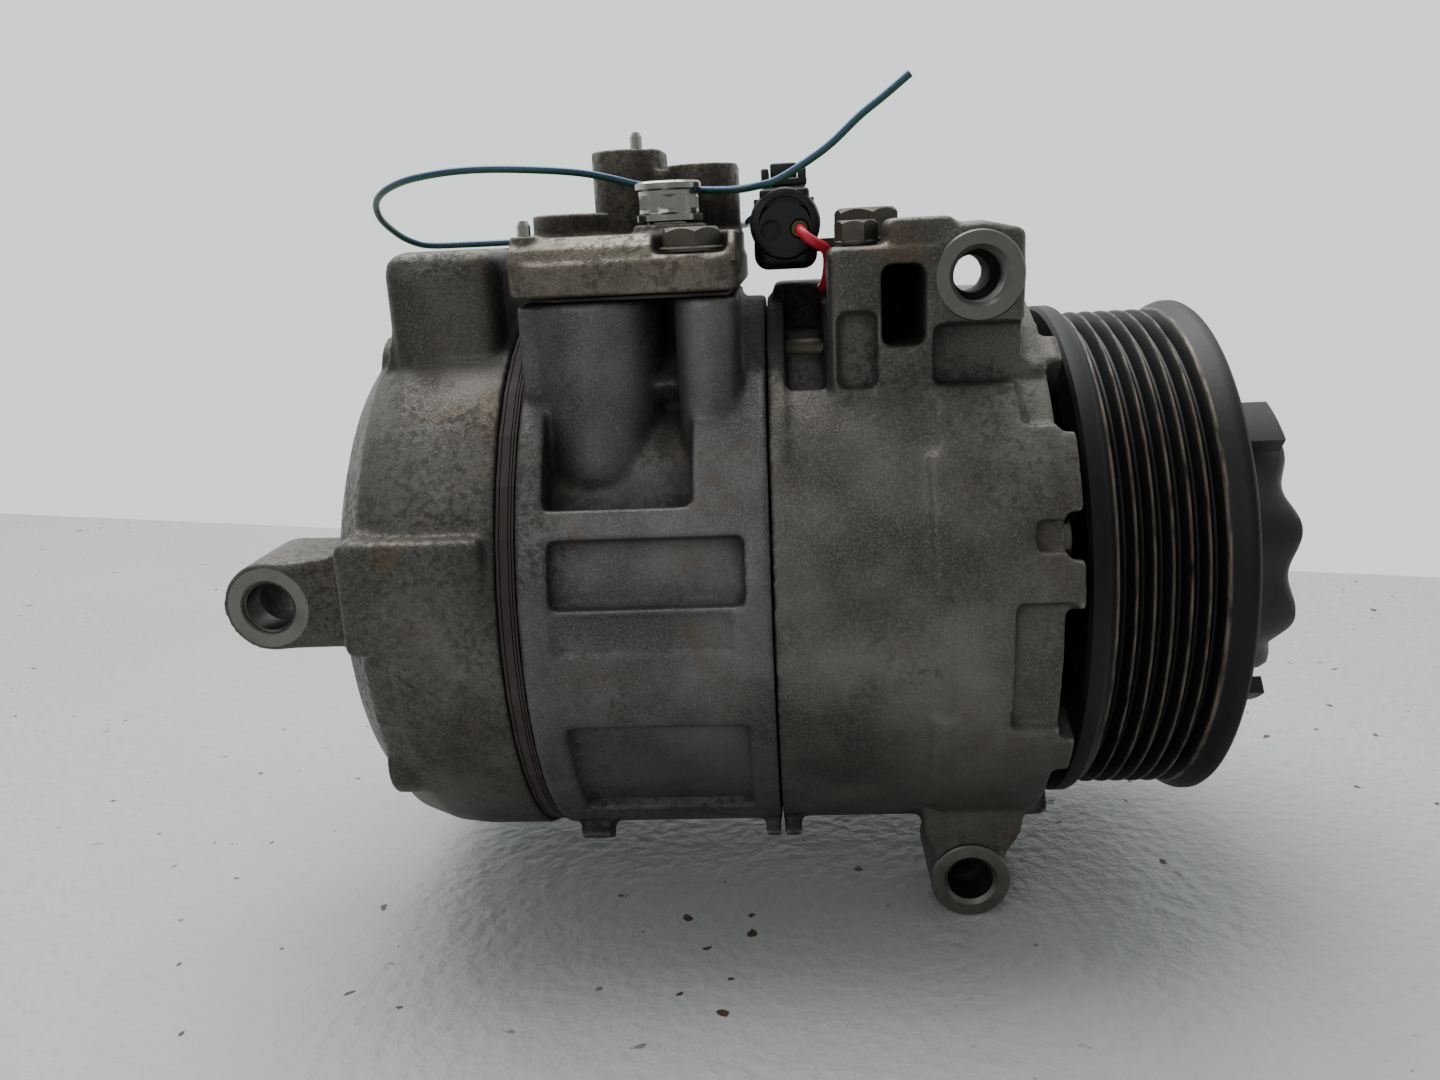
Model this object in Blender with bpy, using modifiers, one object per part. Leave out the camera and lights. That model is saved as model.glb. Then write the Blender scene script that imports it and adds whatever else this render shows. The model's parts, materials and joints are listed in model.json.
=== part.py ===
"""Clutchless variable-displacement air conditioning compressor, in metres.

The drive shaft lies on the X axis and points along +X, the origin is the centre of the shaft's
front end face, and +Z is up. Seven single-headed pistons ring the shaft. The swash plate stands
square to the shaft, which is its minimum-displacement position.
"""

import math

import bmesh
import bpy
from mathutils import Matrix, Vector

TINY = 1e-6
GAP = 0.0003

# Stations along the shaft
REAR_WALL = -0.2045
CHAMBER_FLOOR = -0.1905
REAR_JOINT = -0.1655
BLOCK_REAR = -0.1614
BLOCK_FRONT = -0.1108
HOUSING_REAR = -0.1105
HOUSING_WALL = -0.0640
HOUSING_FRONT = -0.0540
TOOTH_FRONT = -0.0505
NOSE_SHOULDER = -0.0490
NOSE_FRONT = -0.0220
PULLEY_REAR = -0.0487
PULLEY_FRONT = -0.0154
HUB_FRONT = 0.0055

# Body
BODY_R = 0.0640
CRANK_R = 0.0518
PISTONS = 7
STEP = 360 / PISTONS
BOLT_PHASE = 20.9
PITCH_R = 0.0383
BORE_R = 0.0152
PISTON_R = 0.0150
CENTRE_BORE_R = 0.0135
BOLT_CIRCLE_R = 0.0560
BOLT_R = 0.0030
BOLT_HOLE_R = 0.00325
BOLT_TAP_END = -0.1880
NOSE_R = 0.0175
NOSE_BORE_R = 0.0140

# Mounting lugs, all bored along Y. The pairs are (x, z).
LUG_FACE_Y = -0.0450
LUG_BACK_Y = -0.0220
LUG_HOLE_R = 0.0051
LUG_THREAD_R = 0.0038
LUG_RING_R = 0.0088
REAR_LUG = (-0.2206, 0.0044)
REAR_LUG_R = 0.0100
UPPER_LUG = (-0.0684, 0.0680)
LOWER_LUG = (-0.0688, -0.0648)

# Bosses for the connector bracket. The pairs are (x, y).
BOSS_TOP_Z = 0.0746
SEAT_TOP_Z = 0.0730
BRACKET_T = 0.0015
BOSS_BOLTS = ((-0.0918, -0.0360), (-0.0888, -0.0222))

# Ports on top of the cylinder block. The pairs are (x, y).
SEAT_Z = 0.0662
MANIFOLD_X = (-0.1615, -0.1152)
MANIFOLD_Y = (-0.0480, 0.0160)
MANIFOLD_Z = (0.0674, 0.0740, 0.0790)
GASKET_T = 0.0006
WIDE_COLUMN = (-0.1465, -0.0334, 0.0146)
NARROW_COLUMN = (-0.1222, -0.0414, 0.0066)
DECK_PORT = (-0.1512, -0.0250)
TOWER_LOBES = ((-0.1412, 0.0081, 0.0975), (-0.1245, 0.0083, 0.0937))
TOWER_Y = (-0.0030, 0.0070)
PORT_R = 0.0056
RELIEF = (-0.1302, -0.0250)
MANIFOLD_BOLTS = ((-0.1248, -0.0398), (-0.1555, 0.0050))
BOLT_POCKET_Z = 0.0748
PINS = ((-0.1384, -0.0078, 0.1010), (-0.1581, -0.0410, 0.0825))
PIN_R = 0.0014
VALVE = (-0.1795, -0.0055)
VALVE_TOWER_Z = 0.0776

# Rotor
SHAFT_R = 0.0080
HUB_R = 0.0420
RIBS = 6
RIB_PITCH = 0.00356
RIB_HALF = 0.0014
FIRST_RIB = -0.0426
RIB_TIP_R = 0.0568
RIB_ROOT_R = 0.0540
FLANGE_R = 0.0586
PLATE_X = (-0.1028, -0.0958)
PLATE_R = 0.0440
HINGE = (-0.0891, 0.0215)
BEARING_X = (-0.0486, -0.0288)
BALLS = 9
BALL_R = 0.0022
BALL_CIRCLE_R = 0.0220

# Connector and wires. PLUG is (x, z).
PLUG = (-0.1059, 0.0797)
PLUG_Y = (-0.0280, -0.0080)
PLUG_R = 0.0074
WIRE_D = 0.0016
LEAD_D = 0.0022


# ---------------------------------------------------------------- scene

def clear_scene():
    for obj in list(bpy.data.objects):
        bpy.data.objects.remove(obj, do_unlink=True)


def collection(name):
    made = bpy.data.collections.new(name)
    bpy.context.scene.collection.children.link(made)
    return made


clear_scene()
PARTS = collection("ac_compressor")
TOOLS = collection("tools")


def material(name, colour, roughness, metallic):
    made = bpy.data.materials.new(name)
    made.use_nodes = True
    shader = made.node_tree.nodes["Principled BSDF"]
    shader.inputs["Base Color"].default_value = (*colour, 1.0)
    shader.inputs["Roughness"].default_value = roughness
    shader.inputs["Metallic"].default_value = metallic
    made.diffuse_color = (*colour, 1.0)
    return made


CAST = material("cast_aluminium", (0.24, 0.23, 0.21), 0.60, 0.85)
MACHINED = material("machined_aluminium", (0.62, 0.61, 0.58), 0.30, 1.0)
STEEL = material("steel", (0.34, 0.34, 0.34), 0.35, 1.0)
BOLT = material("bolt_steel", (0.12, 0.11, 0.10), 0.50, 0.9)
GASKET = material("gasket_brown", (0.05, 0.03, 0.025), 0.75, 0.0)
RUBBER = material("black_rubber", (0.02, 0.02, 0.02), 0.80, 0.0)
PULLEY_BLACK = material("pulley_black", (0.025, 0.025, 0.028), 0.45, 0.3)
PLASTIC = material("black_plastic", (0.015, 0.015, 0.017), 0.45, 0.0)
GREEN = material("seal_green", (0.10, 0.30, 0.05), 0.60, 0.0)
RED_WIRE = material("wire_red", (0.60, 0.02, 0.04), 0.40, 0.0)
BLUE_WIRE = material("wire_blue_green", (0.02, 0.13, 0.22), 0.35, 0.0)


# ---------------------------------------------------------------- shapes

def from_bmesh(mesh_data, smooth=False):
    mesh = bpy.data.meshes.new("shape")
    bmesh.ops.recalc_face_normals(mesh_data, faces=mesh_data.faces)
    mesh_data.to_mesh(mesh)
    mesh_data.free()
    if smooth:
        mesh.shade_smooth()
        mesh.set_sharp_from_angle(angle=math.radians(35))
    return bpy.data.objects.new("shape", mesh)


def box(low, high, bevel=0.0):
    """A box between two corners, its edges rounded by bevel."""
    mesh_data = bmesh.new()
    bmesh.ops.create_cube(mesh_data, size=1.0)
    size = Vector(high) - Vector(low)
    middle = (Vector(high) + Vector(low)) / 2
    bmesh.ops.transform(mesh_data, verts=mesh_data.verts, matrix=Matrix.Diagonal((*size, 1.0)))
    bmesh.ops.translate(mesh_data, verts=mesh_data.verts, vec=middle)
    if bevel:
        bmesh.ops.bevel(
            mesh_data, geom=mesh_data.edges[:], offset=bevel, segments=2, profile=0.5, affect="EDGES"
        )
    return from_bmesh(mesh_data)


TURN_TO = {
    "X": Matrix.Rotation(math.pi / 2, 4, "Y"),
    "Y": Matrix.Rotation(-math.pi / 2, 4, "X"),
    "Z": Matrix.Identity(4),
}


def rod(axis, centre, low, high, radius, segments=24, far_radius=None):
    """A cylinder or cone along an axis. centre holds the two other coordinates, in XYZ order."""
    mesh_data = bmesh.new()
    bmesh.ops.create_cone(
        mesh_data,
        cap_ends=True,
        segments=segments,
        radius1=radius,
        radius2=radius if far_radius is None else far_radius,
        depth=high - low,
    )
    place = list(centre)
    place.insert("XYZ".index(axis), (low + high) / 2)
    matrix = Matrix.Translation(place) @ TURN_TO[axis]
    bmesh.ops.transform(mesh_data, verts=mesh_data.verts, matrix=matrix)
    return from_bmesh(mesh_data, smooth=segments > 8)


def turned(profile, segments=32, axis="X", centre=(0.0, 0.0), ring=True):
    """A profile of (station, radius) turned about an axis. It runs front to back on its outer side."""
    mesh = bpy.data.meshes.new("shape")
    points = [(radius, 0.0, station) for station, radius in profile]
    edges = [(i, i + 1) for i in range(len(points) - 1)]
    if ring:
        edges.append((len(points) - 1, 0))
    mesh.from_pydata(points, edges, [])
    obj = bpy.data.objects.new("shape", mesh)
    screw = obj.modifiers.new("turn", "SCREW")
    screw.steps = segments
    screw.render_steps = segments
    screw.use_merge_vertices = True
    screw.merge_threshold = 0.00001
    screw.use_smooth_shade = True
    place = list(centre)
    place.insert("XYZ".index(axis), 0.0)
    obj.matrix_world = Matrix.Translation(place) @ TURN_TO[axis]
    return obj


def tube_ring(axis_low, axis_high, inner, outer, segments=24, axis="X", centre=(0.0, 0.0)):
    """A plain ring of square section."""
    profile = [(axis_high, outer), (axis_low, outer), (axis_low, inner), (axis_high, inner)]
    return turned(profile, segments, axis, centre)


def solid_mesh(obj):
    """The object's evaluated mesh, as a new mesh in world space. The object is removed."""
    TOOLS.objects.link(obj)
    bpy.context.view_layer.update()
    matrix = obj.matrix_world.copy()
    evaluated = obj.evaluated_get(bpy.context.evaluated_depsgraph_get())
    mesh = bpy.data.meshes.new_from_object(evaluated)
    bpy.data.objects.remove(obj)
    mesh_data = bmesh.new()
    mesh_data.from_mesh(mesh)
    bmesh.ops.remove_doubles(mesh_data, verts=mesh_data.verts, dist=TINY)
    bmesh.ops.transform(mesh_data, verts=mesh_data.verts, matrix=matrix)
    bmesh.ops.recalc_face_normals(mesh_data, faces=mesh_data.faces)
    mesh_data.to_mesh(mesh)
    mesh_data.free()
    return mesh


# An outline's two coordinates are world Y and Z for X, X and Z for Y, X and Y for Z.
OUTLINE_TO = {
    "X": Matrix(((0, 0, 1, 0), (1, 0, 0, 0), (0, 1, 0, 0), (0, 0, 0, 1))),
    "Y": Matrix(((1, 0, 0, 0), (0, 0, -1, 0), (0, 1, 0, 0), (0, 0, 0, 1))),
    "Z": Matrix.Identity(4),
}


def slab(axis, outline, low, high, holes=()):
    """A flat outline, with holes in it, given a thickness along an axis."""
    curve = bpy.data.curves.new("shape", "CURVE")
    curve.dimensions = "2D"
    curve.fill_mode = "BOTH"
    curve.extrude = (high - low) / 2
    for points in (outline, *holes):
        spline = curve.splines.new("POLY")
        spline.points.add(len(points) - 1)
        spline.use_cyclic_u = True
        for point, (u, v) in zip(spline.points, points):
            point.co = (u, v, 0.0, 1.0)
    obj = bpy.data.objects.new("shape", curve)
    offset = Vector((0.0, 0.0, 0.0))
    offset["XYZ".index(axis)] = (low + high) / 2
    obj.matrix_world = Matrix.Translation(offset) @ OUTLINE_TO[axis]
    return bpy.data.objects.new("shape", solid_mesh(obj))


def circle(centre, radius, count):
    angles = [2 * math.pi * i / count for i in range(count)]
    return [(centre[0] + radius * math.cos(a), centre[1] + radius * math.sin(a)) for a in angles]


def around(angle, radius):
    """(y, z) at an angle in degrees from the top, turning towards -Y."""
    turn = math.radians(angle)
    return (-radius * math.sin(turn), radius * math.cos(turn))


def sector(x_low, x_high, inner, outer, start, end, count=5):
    """A block of a ring about the shaft, between two angles from the top."""
    angles = [start + (end - start) * i / (count - 1) for i in range(count)]
    points = [around(a, outer) for a in angles] + [around(a, inner) for a in reversed(angles)]
    return slab("X", points, x_low, x_high)


def tube(points, radius, resolution=2):
    """A wire or spring through the points, as a curve."""
    curve = bpy.data.curves.new("shape", "CURVE")
    curve.dimensions = "3D"
    curve.bevel_depth = radius
    curve.bevel_resolution = resolution
    curve.use_fill_caps = True
    spline = curve.splines.new("POLY")
    spline.points.add(len(points) - 1)
    for point, place in zip(spline.points, points):
        point.co = (*place, 1.0)
    return bpy.data.objects.new("shape", curve)


def smooth_route(knots, spacing):
    """Points a fixed distance apart on the Catmull-Rom curve through the knots."""
    knots = [Vector(k) for k in knots]
    ends = [2 * knots[0] - knots[1], *knots, 2 * knots[-1] - knots[-2]]
    fine = []
    for a, b, c, d in zip(ends, ends[1:], ends[2:], ends[3:]):
        for i in range(24):
            t = i / 24
            fine.append(
                0.5 * (2 * b + (c - a) * t + (2 * a - 5 * b + 4 * c - d) * t**2
                       + (3 * b - 3 * c + d - a) * t**3)
            )
    fine.append(knots[-1])
    travelled = [0.0]
    for a, b in zip(fine, fine[1:]):
        travelled.append(travelled[-1] + (b - a).length)
    count = max(2, round(travelled[-1] / spacing))
    points = []
    i = 0
    for step in range(count + 1):
        wanted = travelled[-1] * step / count
        while i < len(fine) - 2 and travelled[i + 1] < wanted:
            i += 1
        share = (wanted - travelled[i]) / (travelled[i + 1] - travelled[i])
        points.append(fine[i].lerp(fine[i + 1], share))
    return points


# ---------------------------------------------------------------- pieces

def apply_tool(target, tool, operation):
    TOOLS.objects.link(tool)
    tool.name = "tool"
    tool.hide_render = True
    tool.display_type = "WIRE"
    modifier = target.modifiers.new(operation.lower(), "BOOLEAN")
    modifier.operation = operation
    modifier.solver = "EXACT"
    modifier.object = tool


def piece(name, base, finish, join=(), cut=()):
    """Names a shape, joins and cuts it, gives it its material and puts it in the object."""
    for tool in join:
        apply_tool(base, tool, "UNION")
    for tool in cut:
        apply_tool(base, tool, "DIFFERENCE")
    base.name = name
    base.data.name = name
    base.data.materials.clear()
    base.data.materials.append(finish)
    PARTS.objects.link(base)


def copies(name, base, finish, angles):
    """The same solid at several angles about the shaft, as name_1, name_2 and so on."""
    mesh = solid_mesh(base)
    mesh.materials.clear()
    mesh.materials.append(finish)
    for number, angle in enumerate(angles, 1):
        obj = bpy.data.objects.new(f"{name}_{number}", mesh)
        obj.rotation_euler.x = math.radians(angle)
        PARTS.objects.link(obj)


def bolt_angles():
    return [BOLT_PHASE + STEP * i for i in range(PISTONS)]


def piston_angles():
    return [BOLT_PHASE + STEP * (i + 0.5) for i in range(PISTONS)]


def bolt_holes(x_low, x_high, radius=BOLT_HOLE_R):
    return [rod("X", around(a, BOLT_CIRCLE_R), x_low, x_high, radius, 8) for a in bolt_angles()]


def lug_bore(lug):
    """A clearance bore in the near half and the thread's smaller bore in the far half."""
    middle = LUG_FACE_Y + 0.0100
    return [
        rod("Y", lug, LUG_FACE_Y - 0.0100, middle, LUG_HOLE_R, 16),
        rod("Y", lug, middle - 0.0010, LUG_BACK_Y + 0.0060, LUG_THREAD_R, 16),
    ]


# ---------------------------------------------------------------- housings

def rear_housing():
    """The rear cover: suction and discharge chambers, the control valve's bore and the rear lug."""
    cover = turned(
        [
            (REAR_JOINT, BODY_R),
            (-0.1820, BODY_R),
            (-0.1945, 0.0605),
            (-0.2005, 0.0530),
            (REAR_WALL, 0.0440),
            (REAR_WALL, 0.0010),
            (CHAMBER_FLOOR, 0.0010),
            (CHAMBER_FLOOR, 0.0300),
            (REAR_JOINT, 0.0300),
            (REAR_JOINT, 0.0330),
            (CHAMBER_FLOOR, 0.0330),
            (CHAMBER_FLOOR, 0.0520),
            (REAR_JOINT, 0.0520),
        ]
    )
    valve_tower = box((-0.1915, -0.0330, 0.0310), (-0.1664, 0.0120, VALVE_TOWER_Z), 0.0030)
    tower_root = slab(
        "Y", [(-0.1985, 0.0320), (-0.1720, 0.0320), (-0.1720, 0.0640), (-0.1905, 0.0640)], -0.0305, 0.0080
    )
    valve_bore_wall = rod("Z", VALVE, 0.0120, 0.0600, 0.0127, 18)
    lug_x, lug_z = REAR_LUG
    lug_eye = rod("Y", REAR_LUG, LUG_FACE_Y, LUG_BACK_Y, REAR_LUG_R, 24)
    lug_arm = box(
        (lug_x, LUG_FACE_Y, lug_z - REAR_LUG_R + 0.0003), (-0.1940, LUG_BACK_Y, lug_z + REAR_LUG_R - 0.0003)
    )
    lug_root = box((-0.1970, -0.0645, -0.0010), (-0.1672, -0.0535, 0.0230), 0.0020)
    bosses = [rod("X", around(a, 0.0545), -0.1960, -0.1670, 0.0085, 10) for a in bolt_angles()]
    piece(
        "rear_housing",
        cover,
        CAST,
        join=[valve_tower, tower_root, valve_bore_wall, lug_arm, lug_root, lug_eye, *bosses],
        cut=[
            rod("Y", REAR_LUG, LUG_FACE_Y - 0.0100, LUG_BACK_Y + 0.0100, 0.0055, 16),
            rod("Z", VALVE, 0.0150, 0.0900, 0.0093, 20),
            *bolt_holes(BOLT_TAP_END, REAR_JOINT + 0.0100),
            rod("X", (0.0, 0.0), REAR_WALL - 0.0100, -0.1830, 0.0025, 12),
        ],
    )


def foot(x_low, x_high):
    """A cast lump under the body."""
    return sector(x_low, x_high, 0.0600, 0.0680, 146, 154, 3)


def cylinder_block():
    block = turned(
        [
            (BLOCK_FRONT, BODY_R),
            (BLOCK_REAR, BODY_R),
            (BLOCK_REAR, CENTRE_BORE_R),
            (BLOCK_FRONT, CENTRE_BORE_R),
        ]
    )
    recesses = [
        sector(-0.1559, -0.1260, 0.0590, 0.0700, 42, 64.8),
        sector(-0.1550, -0.1160, 0.0605, 0.0700, 70.5, 83),
        sector(-0.1540, -0.1165, 0.0615, 0.0700, 107, 135),
    ]
    columns = [
        rod("Z", (x, y), 0.0300, SEAT_Z, radius, 20) for x, y, radius in (WIDE_COLUMN, NARROW_COLUMN)
    ]
    neck = box((-0.1600, -0.0400, 0.0400), (-0.1165, 0.0140, SEAT_Z - 0.0002))
    bores = [
        rod("X", around(a, PITCH_R), BLOCK_REAR - 0.0100, BLOCK_FRONT + 0.0100, BORE_R, 20)
        for a in piston_angles()
    ]
    ports = [
        rod("Z", DECK_PORT, 0.0560, SEAT_Z + 0.0100, PORT_R, 16),
        rod("Z", MANIFOLD_BOLTS[0], 0.0480, SEAT_Z + 0.0100, BOLT_R, 12),
        rod("Z", MANIFOLD_BOLTS[1], 0.0600, SEAT_Z + 0.0100, BOLT_R, 12),
        rod("Z", (TOWER_LOBES[0][0], TOWER_Y[0]), 0.0590, SEAT_Z + 0.0100, PORT_R - 0.0012, 16),
    ]
    groove = tube_ring(-0.1128, BLOCK_FRONT + 0.0100, 0.0598, 0.0616, 36)
    piece("cylinder_block", block, CAST, join=[foot(-0.1580, -0.1510), foot(-0.1145, -0.1112)], cut=recesses)
    for tool in (neck, *columns):
        apply_tool(block, tool, "UNION")
    for tool in (*bores, *bolt_holes(BLOCK_REAR - 0.0100, BLOCK_FRONT + 0.0100), groove, *ports):
        apply_tool(block, tool, "DIFFERENCE")


def front_housing():
    shell = turned(
        [
            (NOSE_FRONT, NOSE_R),
            (NOSE_SHOULDER, NOSE_R),
            (NOSE_SHOULDER, 0.0230),
            (HOUSING_FRONT, 0.0300),
            (HOUSING_FRONT, 0.0645),
            (-0.0770, 0.0645),
            (-0.0790, 0.0634),
            (HOUSING_REAR, 0.0638),
            (HOUSING_REAR, CRANK_R),
            (HOUSING_WALL, CRANK_R),
            (HOUSING_WALL, NOSE_BORE_R),
            (NOSE_FRONT, NOSE_BORE_R),
        ]
    )
    top_boss = box((-0.0979, LUG_FACE_Y, 0.0350), (-0.0740, -0.0312, BOSS_TOP_Z), 0.0012)
    rear_seat = box((-0.0955, -0.0330, 0.0450), (-0.0745, 0.0080, SEAT_TOP_Z))
    pad = box((-0.0865, -0.0436, 0.0700), (-0.0730, -0.0316, 0.0796), 0.0010)
    saddle = box((-0.1090, -0.0100, 0.0550), (-0.0940, 0.0120, 0.0668))
    upper_block = box((-0.0760, LUG_FACE_Y + 0.0010, 0.0380), (-0.0593, LUG_BACK_Y, 0.0785), 0.0015)
    upper_eye = rod("Y", UPPER_LUG, LUG_FACE_Y, LUG_BACK_Y - 0.0010, LUG_RING_R, 24)
    lower_eye = rod("Y", LOWER_LUG, LUG_FACE_Y, LUG_BACK_Y, LUG_RING_R, 24)
    lower_neck = slab(
        "Y",
        [(-0.0795, -0.0400), (-0.0785, -0.0530), (-0.0765, -0.0648), (-0.0611, -0.0648), (-0.0575, -0.0550),
         (-0.0550, -0.0400)],
        LUG_FACE_Y + 0.0020,
        LUG_BACK_Y - 0.0010,
    )
    teeth = [
        sector(HOUSING_FRONT - 0.0030, TOOTH_FRONT, 0.0540, 0.0641, middle - half, middle + half, 3)
        for side in (1, -1)
        for middle, half in ((side * 34.4, 3.5), (side * 60.7, 7.3), (side * 81, 4.5), (side * 116.4, 4.5))
    ]
    slot = box((-0.0874, -0.0600, 0.0551), (-0.0791, -0.0262, 0.0708))
    shallow_recess = box((-0.0962, -0.0500, 0.0470), (-0.0886, -0.0437, 0.0620))
    front_pocket = sector(-0.0640, -0.0520, 0.0620, 0.0700, 84, 109)
    head_wells = bolt_holes(-0.0573, TOOTH_FRONT + 0.0100, 0.0057)
    bolt_taps = [rod("Z", centre, 0.0620, 0.0900, BOLT_R, 12) for centre in BOSS_BOLTS]
    piece(
        "front_housing",
        shell,
        CAST,
        join=[
            top_boss, rear_seat, pad, saddle, upper_block, upper_eye, lower_neck, lower_eye,
            foot(-0.1102, -0.1063), *teeth,
        ],
        cut=[
            slot,
            shallow_recess,
            front_pocket,
            *head_wells,
            *bolt_holes(HOUSING_REAR - 0.0100, HOUSING_FRONT + 0.0100),
            *bolt_taps,
            *lug_bore(UPPER_LUG),
            *lug_bore(LOWER_LUG),
            rod("X", (0.0, 0.0), HOUSING_REAR - 0.0100, HOUSING_WALL - 0.0001, CRANK_R + 0.0001, 30),
        ],
    )


def housing_seals():
    piece("housing_o_ring", tube_ring(-0.1125, BLOCK_FRONT - 0.0001, 0.0601, 0.0613, 36), RUBBER)


def through_bolts():
    bolt = rod("X", (0.0, BOLT_CIRCLE_R), BOLT_TAP_END + 0.0010, -0.0560, BOLT_R, 10)
    head = rod("X", (0.0, BOLT_CIRCLE_R), -0.0570, -0.0522, 0.0050, 6)
    apply_tool(bolt, head, "UNION")
    copies("through_bolt", bolt, BOLT, bolt_angles())


# ---------------------------------------------------------------- valve stack

def plate(name, x_low, x_high, finish, ports):
    """A round sheet of the valve stack. ports holds (radius of the circle, hole radius)."""
    holes = [circle((0.0, 0.0), 0.0030, 8)]
    for circle_r, hole_r in ports:
        holes += [circle(around(a, circle_r), hole_r, 8) for a in piston_angles()]
    holes += [circle(around(a, BOLT_CIRCLE_R), BOLT_HOLE_R + GAP, 6) for a in bolt_angles()]
    sheet = slab("X", circle((0.0, 0.0), 0.0632, 36), x_low, x_high, holes)
    piece(name, sheet, finish)


def star(name, x_low, x_high, tip_r, finish):
    """A seven-petalled disc whose petals cover the discharge ports."""
    half = 0.0034
    root = 0.0110
    points = []
    for angle in piston_angles():
        for side, reach in ((-1, root), (-1, tip_r), (1, tip_r), (1, root)):
            y, z = around(angle, reach)
            across_y, across_z = around(angle + 90, half * side)
            points.append((y + across_y, z + across_z))
    piece(name, slab("X", points, x_low, x_high, [circle((0.0, 0.0), 0.0030, 8)]), finish)


def valve_stack():
    """Gasket, valve plate, suction reeds and gasket, from the rear cover to the block."""
    discharge_port = (0.0265, 0.0022)
    suction_port = (0.0455, 0.0042)
    plate("rear_gasket", -0.1652, -0.1646, GASKET, [(0.0265, 0.0030), (0.0430, 0.0060)])
    plate("valve_plate", -0.1644, -0.1628, STEEL, [discharge_port, suction_port])
    plate("suction_reed_plate", -0.1626, -0.1622, STEEL, [discharge_port])
    plate("cylinder_gasket", -0.1620, -0.1616, GASKET, [(PITCH_R, 0.0145)])
    star("discharge_reed", -0.1663, -0.1658, 0.0288, STEEL)


# ---------------------------------------------------------------- top of the block

def port_manifold():
    x_low, x_high = MANIFOLD_X
    y_low, y_high = MANIFOLD_Y
    bottom, shoulder, deck = MANIFOLD_Z
    section = [
        (y_low, bottom), (y_high, bottom), (y_high, deck), (y_low + 0.0055, deck), (y_low, shoulder),
    ]
    base = slab("X", section, x_low, x_high)
    tower = []
    for x, radius, top in TOWER_LOBES:
        tower += [rod("Z", (x, y), bottom + 0.0050, top, radius, 18) for y in TOWER_Y]
        tower.append(box((x - radius, TOWER_Y[0], bottom + 0.0050), (x + radius, TOWER_Y[1], top - 0.0001)))
    tower.append(
        box((TOWER_LOBES[0][0], TOWER_Y[0] - 0.0050, bottom + 0.0050), (TOWER_LOBES[1][0], TOWER_Y[1], 0.0925))
    )
    rim = rod("Z", DECK_PORT, deck - 0.0020, 0.0838, 0.0080, 18)
    relief_boss = rod("Z", RELIEF, deck - 0.0030, 0.0808, 0.0076, 16)
    bolt_x, bolt_y = MANIFOLD_BOLTS[0]
    cutters = [
        rod("Z", (TOWER_LOBES[0][0], TOWER_Y[1] - 0.0020), 0.0720, 0.1100, 0.0046, 16),
        rod("Z", (TOWER_LOBES[0][0], TOWER_Y[0]), 0.0600, 0.0780, PORT_R - 0.0012, 16),
        rod("Z", (TOWER_LOBES[1][0], TOWER_Y[0]), 0.0800, 0.1100, 0.0033, 12),
        rod("Z", DECK_PORT, 0.0600, 0.0900, PORT_R, 16),
        rod("Z", RELIEF, 0.0705, 0.0900, 0.0053, 16),
        rod("Z", PINS[0][:2], 0.0880, 0.1100, PIN_R + GAP, 10),
        rod("Z", PINS[1][:2], 0.0710, 0.0900, PIN_R + GAP, 10),
        rod("Z", MANIFOLD_BOLTS[0], BOLT_POCKET_Z, 0.0900, 0.0072, 16),
        box((bolt_x - 0.0071, y_low - 0.0100, BOLT_POCKET_Z), (bolt_x + 0.0071, bolt_y, 0.0900)),
        *[rod("Z", centre, 0.0600, 0.0900, BOLT_R + GAP, 12) for centre in MANIFOLD_BOLTS],
    ]
    piece("port_manifold", base, CAST, join=[*tower, rim, relief_boss], cut=cutters)


def manifold_gasket():
    """The flat gasket between the block's seat and the manifold."""
    low = SEAT_Z + GAP
    outline = [(-0.1590, -0.0385), (-0.1590, 0.0135), (-0.1175, 0.0135), (-0.1175, -0.0455), (-0.1525, -0.0455)]
    holes = [
        circle(DECK_PORT, PORT_R, 16),
        circle((TOWER_LOBES[0][0], TOWER_Y[0]), PORT_R - 0.0012, 16),
        *[circle(centre, BOLT_R + GAP, 12) for centre in MANIFOLD_BOLTS],
    ]
    piece("manifold_gasket", slab("Z", outline, low, low + GASKET_T, holes), GASKET)


def manifold_fasteners():
    seats = (
        ("manifold_bolt_front", 0.0490, BOLT_POCKET_Z, 0.0062),
        ("manifold_bolt_rear", 0.0610, MANIFOLD_Z[2], 0.0054),
    )
    for (name, bottom, seat, radius), (x, y) in zip(seats, MANIFOLD_BOLTS):
        shank = rod("Z", (x, y), bottom, seat + 0.0010, BOLT_R - GAP, 12)
        head = rod("Z", (x, y), seat + GAP, seat + 0.0050, radius, 6)
        washer = rod("Z", (x, y), seat + GAP, seat + 0.0013, radius + GAP, 16)
        piece(name, shank, BOLT, join=[head, washer])
    for name, (x, y, top), length in zip(("dowel_pin_tower", "dowel_pin_deck"), PINS, (0.0120, 0.0110)):
        profile = [(top, 0.0), (top, 0.0008), (top - 0.0010, PIN_R), (top - length, PIN_R), (top - length, 0.0)]
        piece(name, turned(profile, 12, "Z", (x, y), ring=False), MACHINED)


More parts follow.
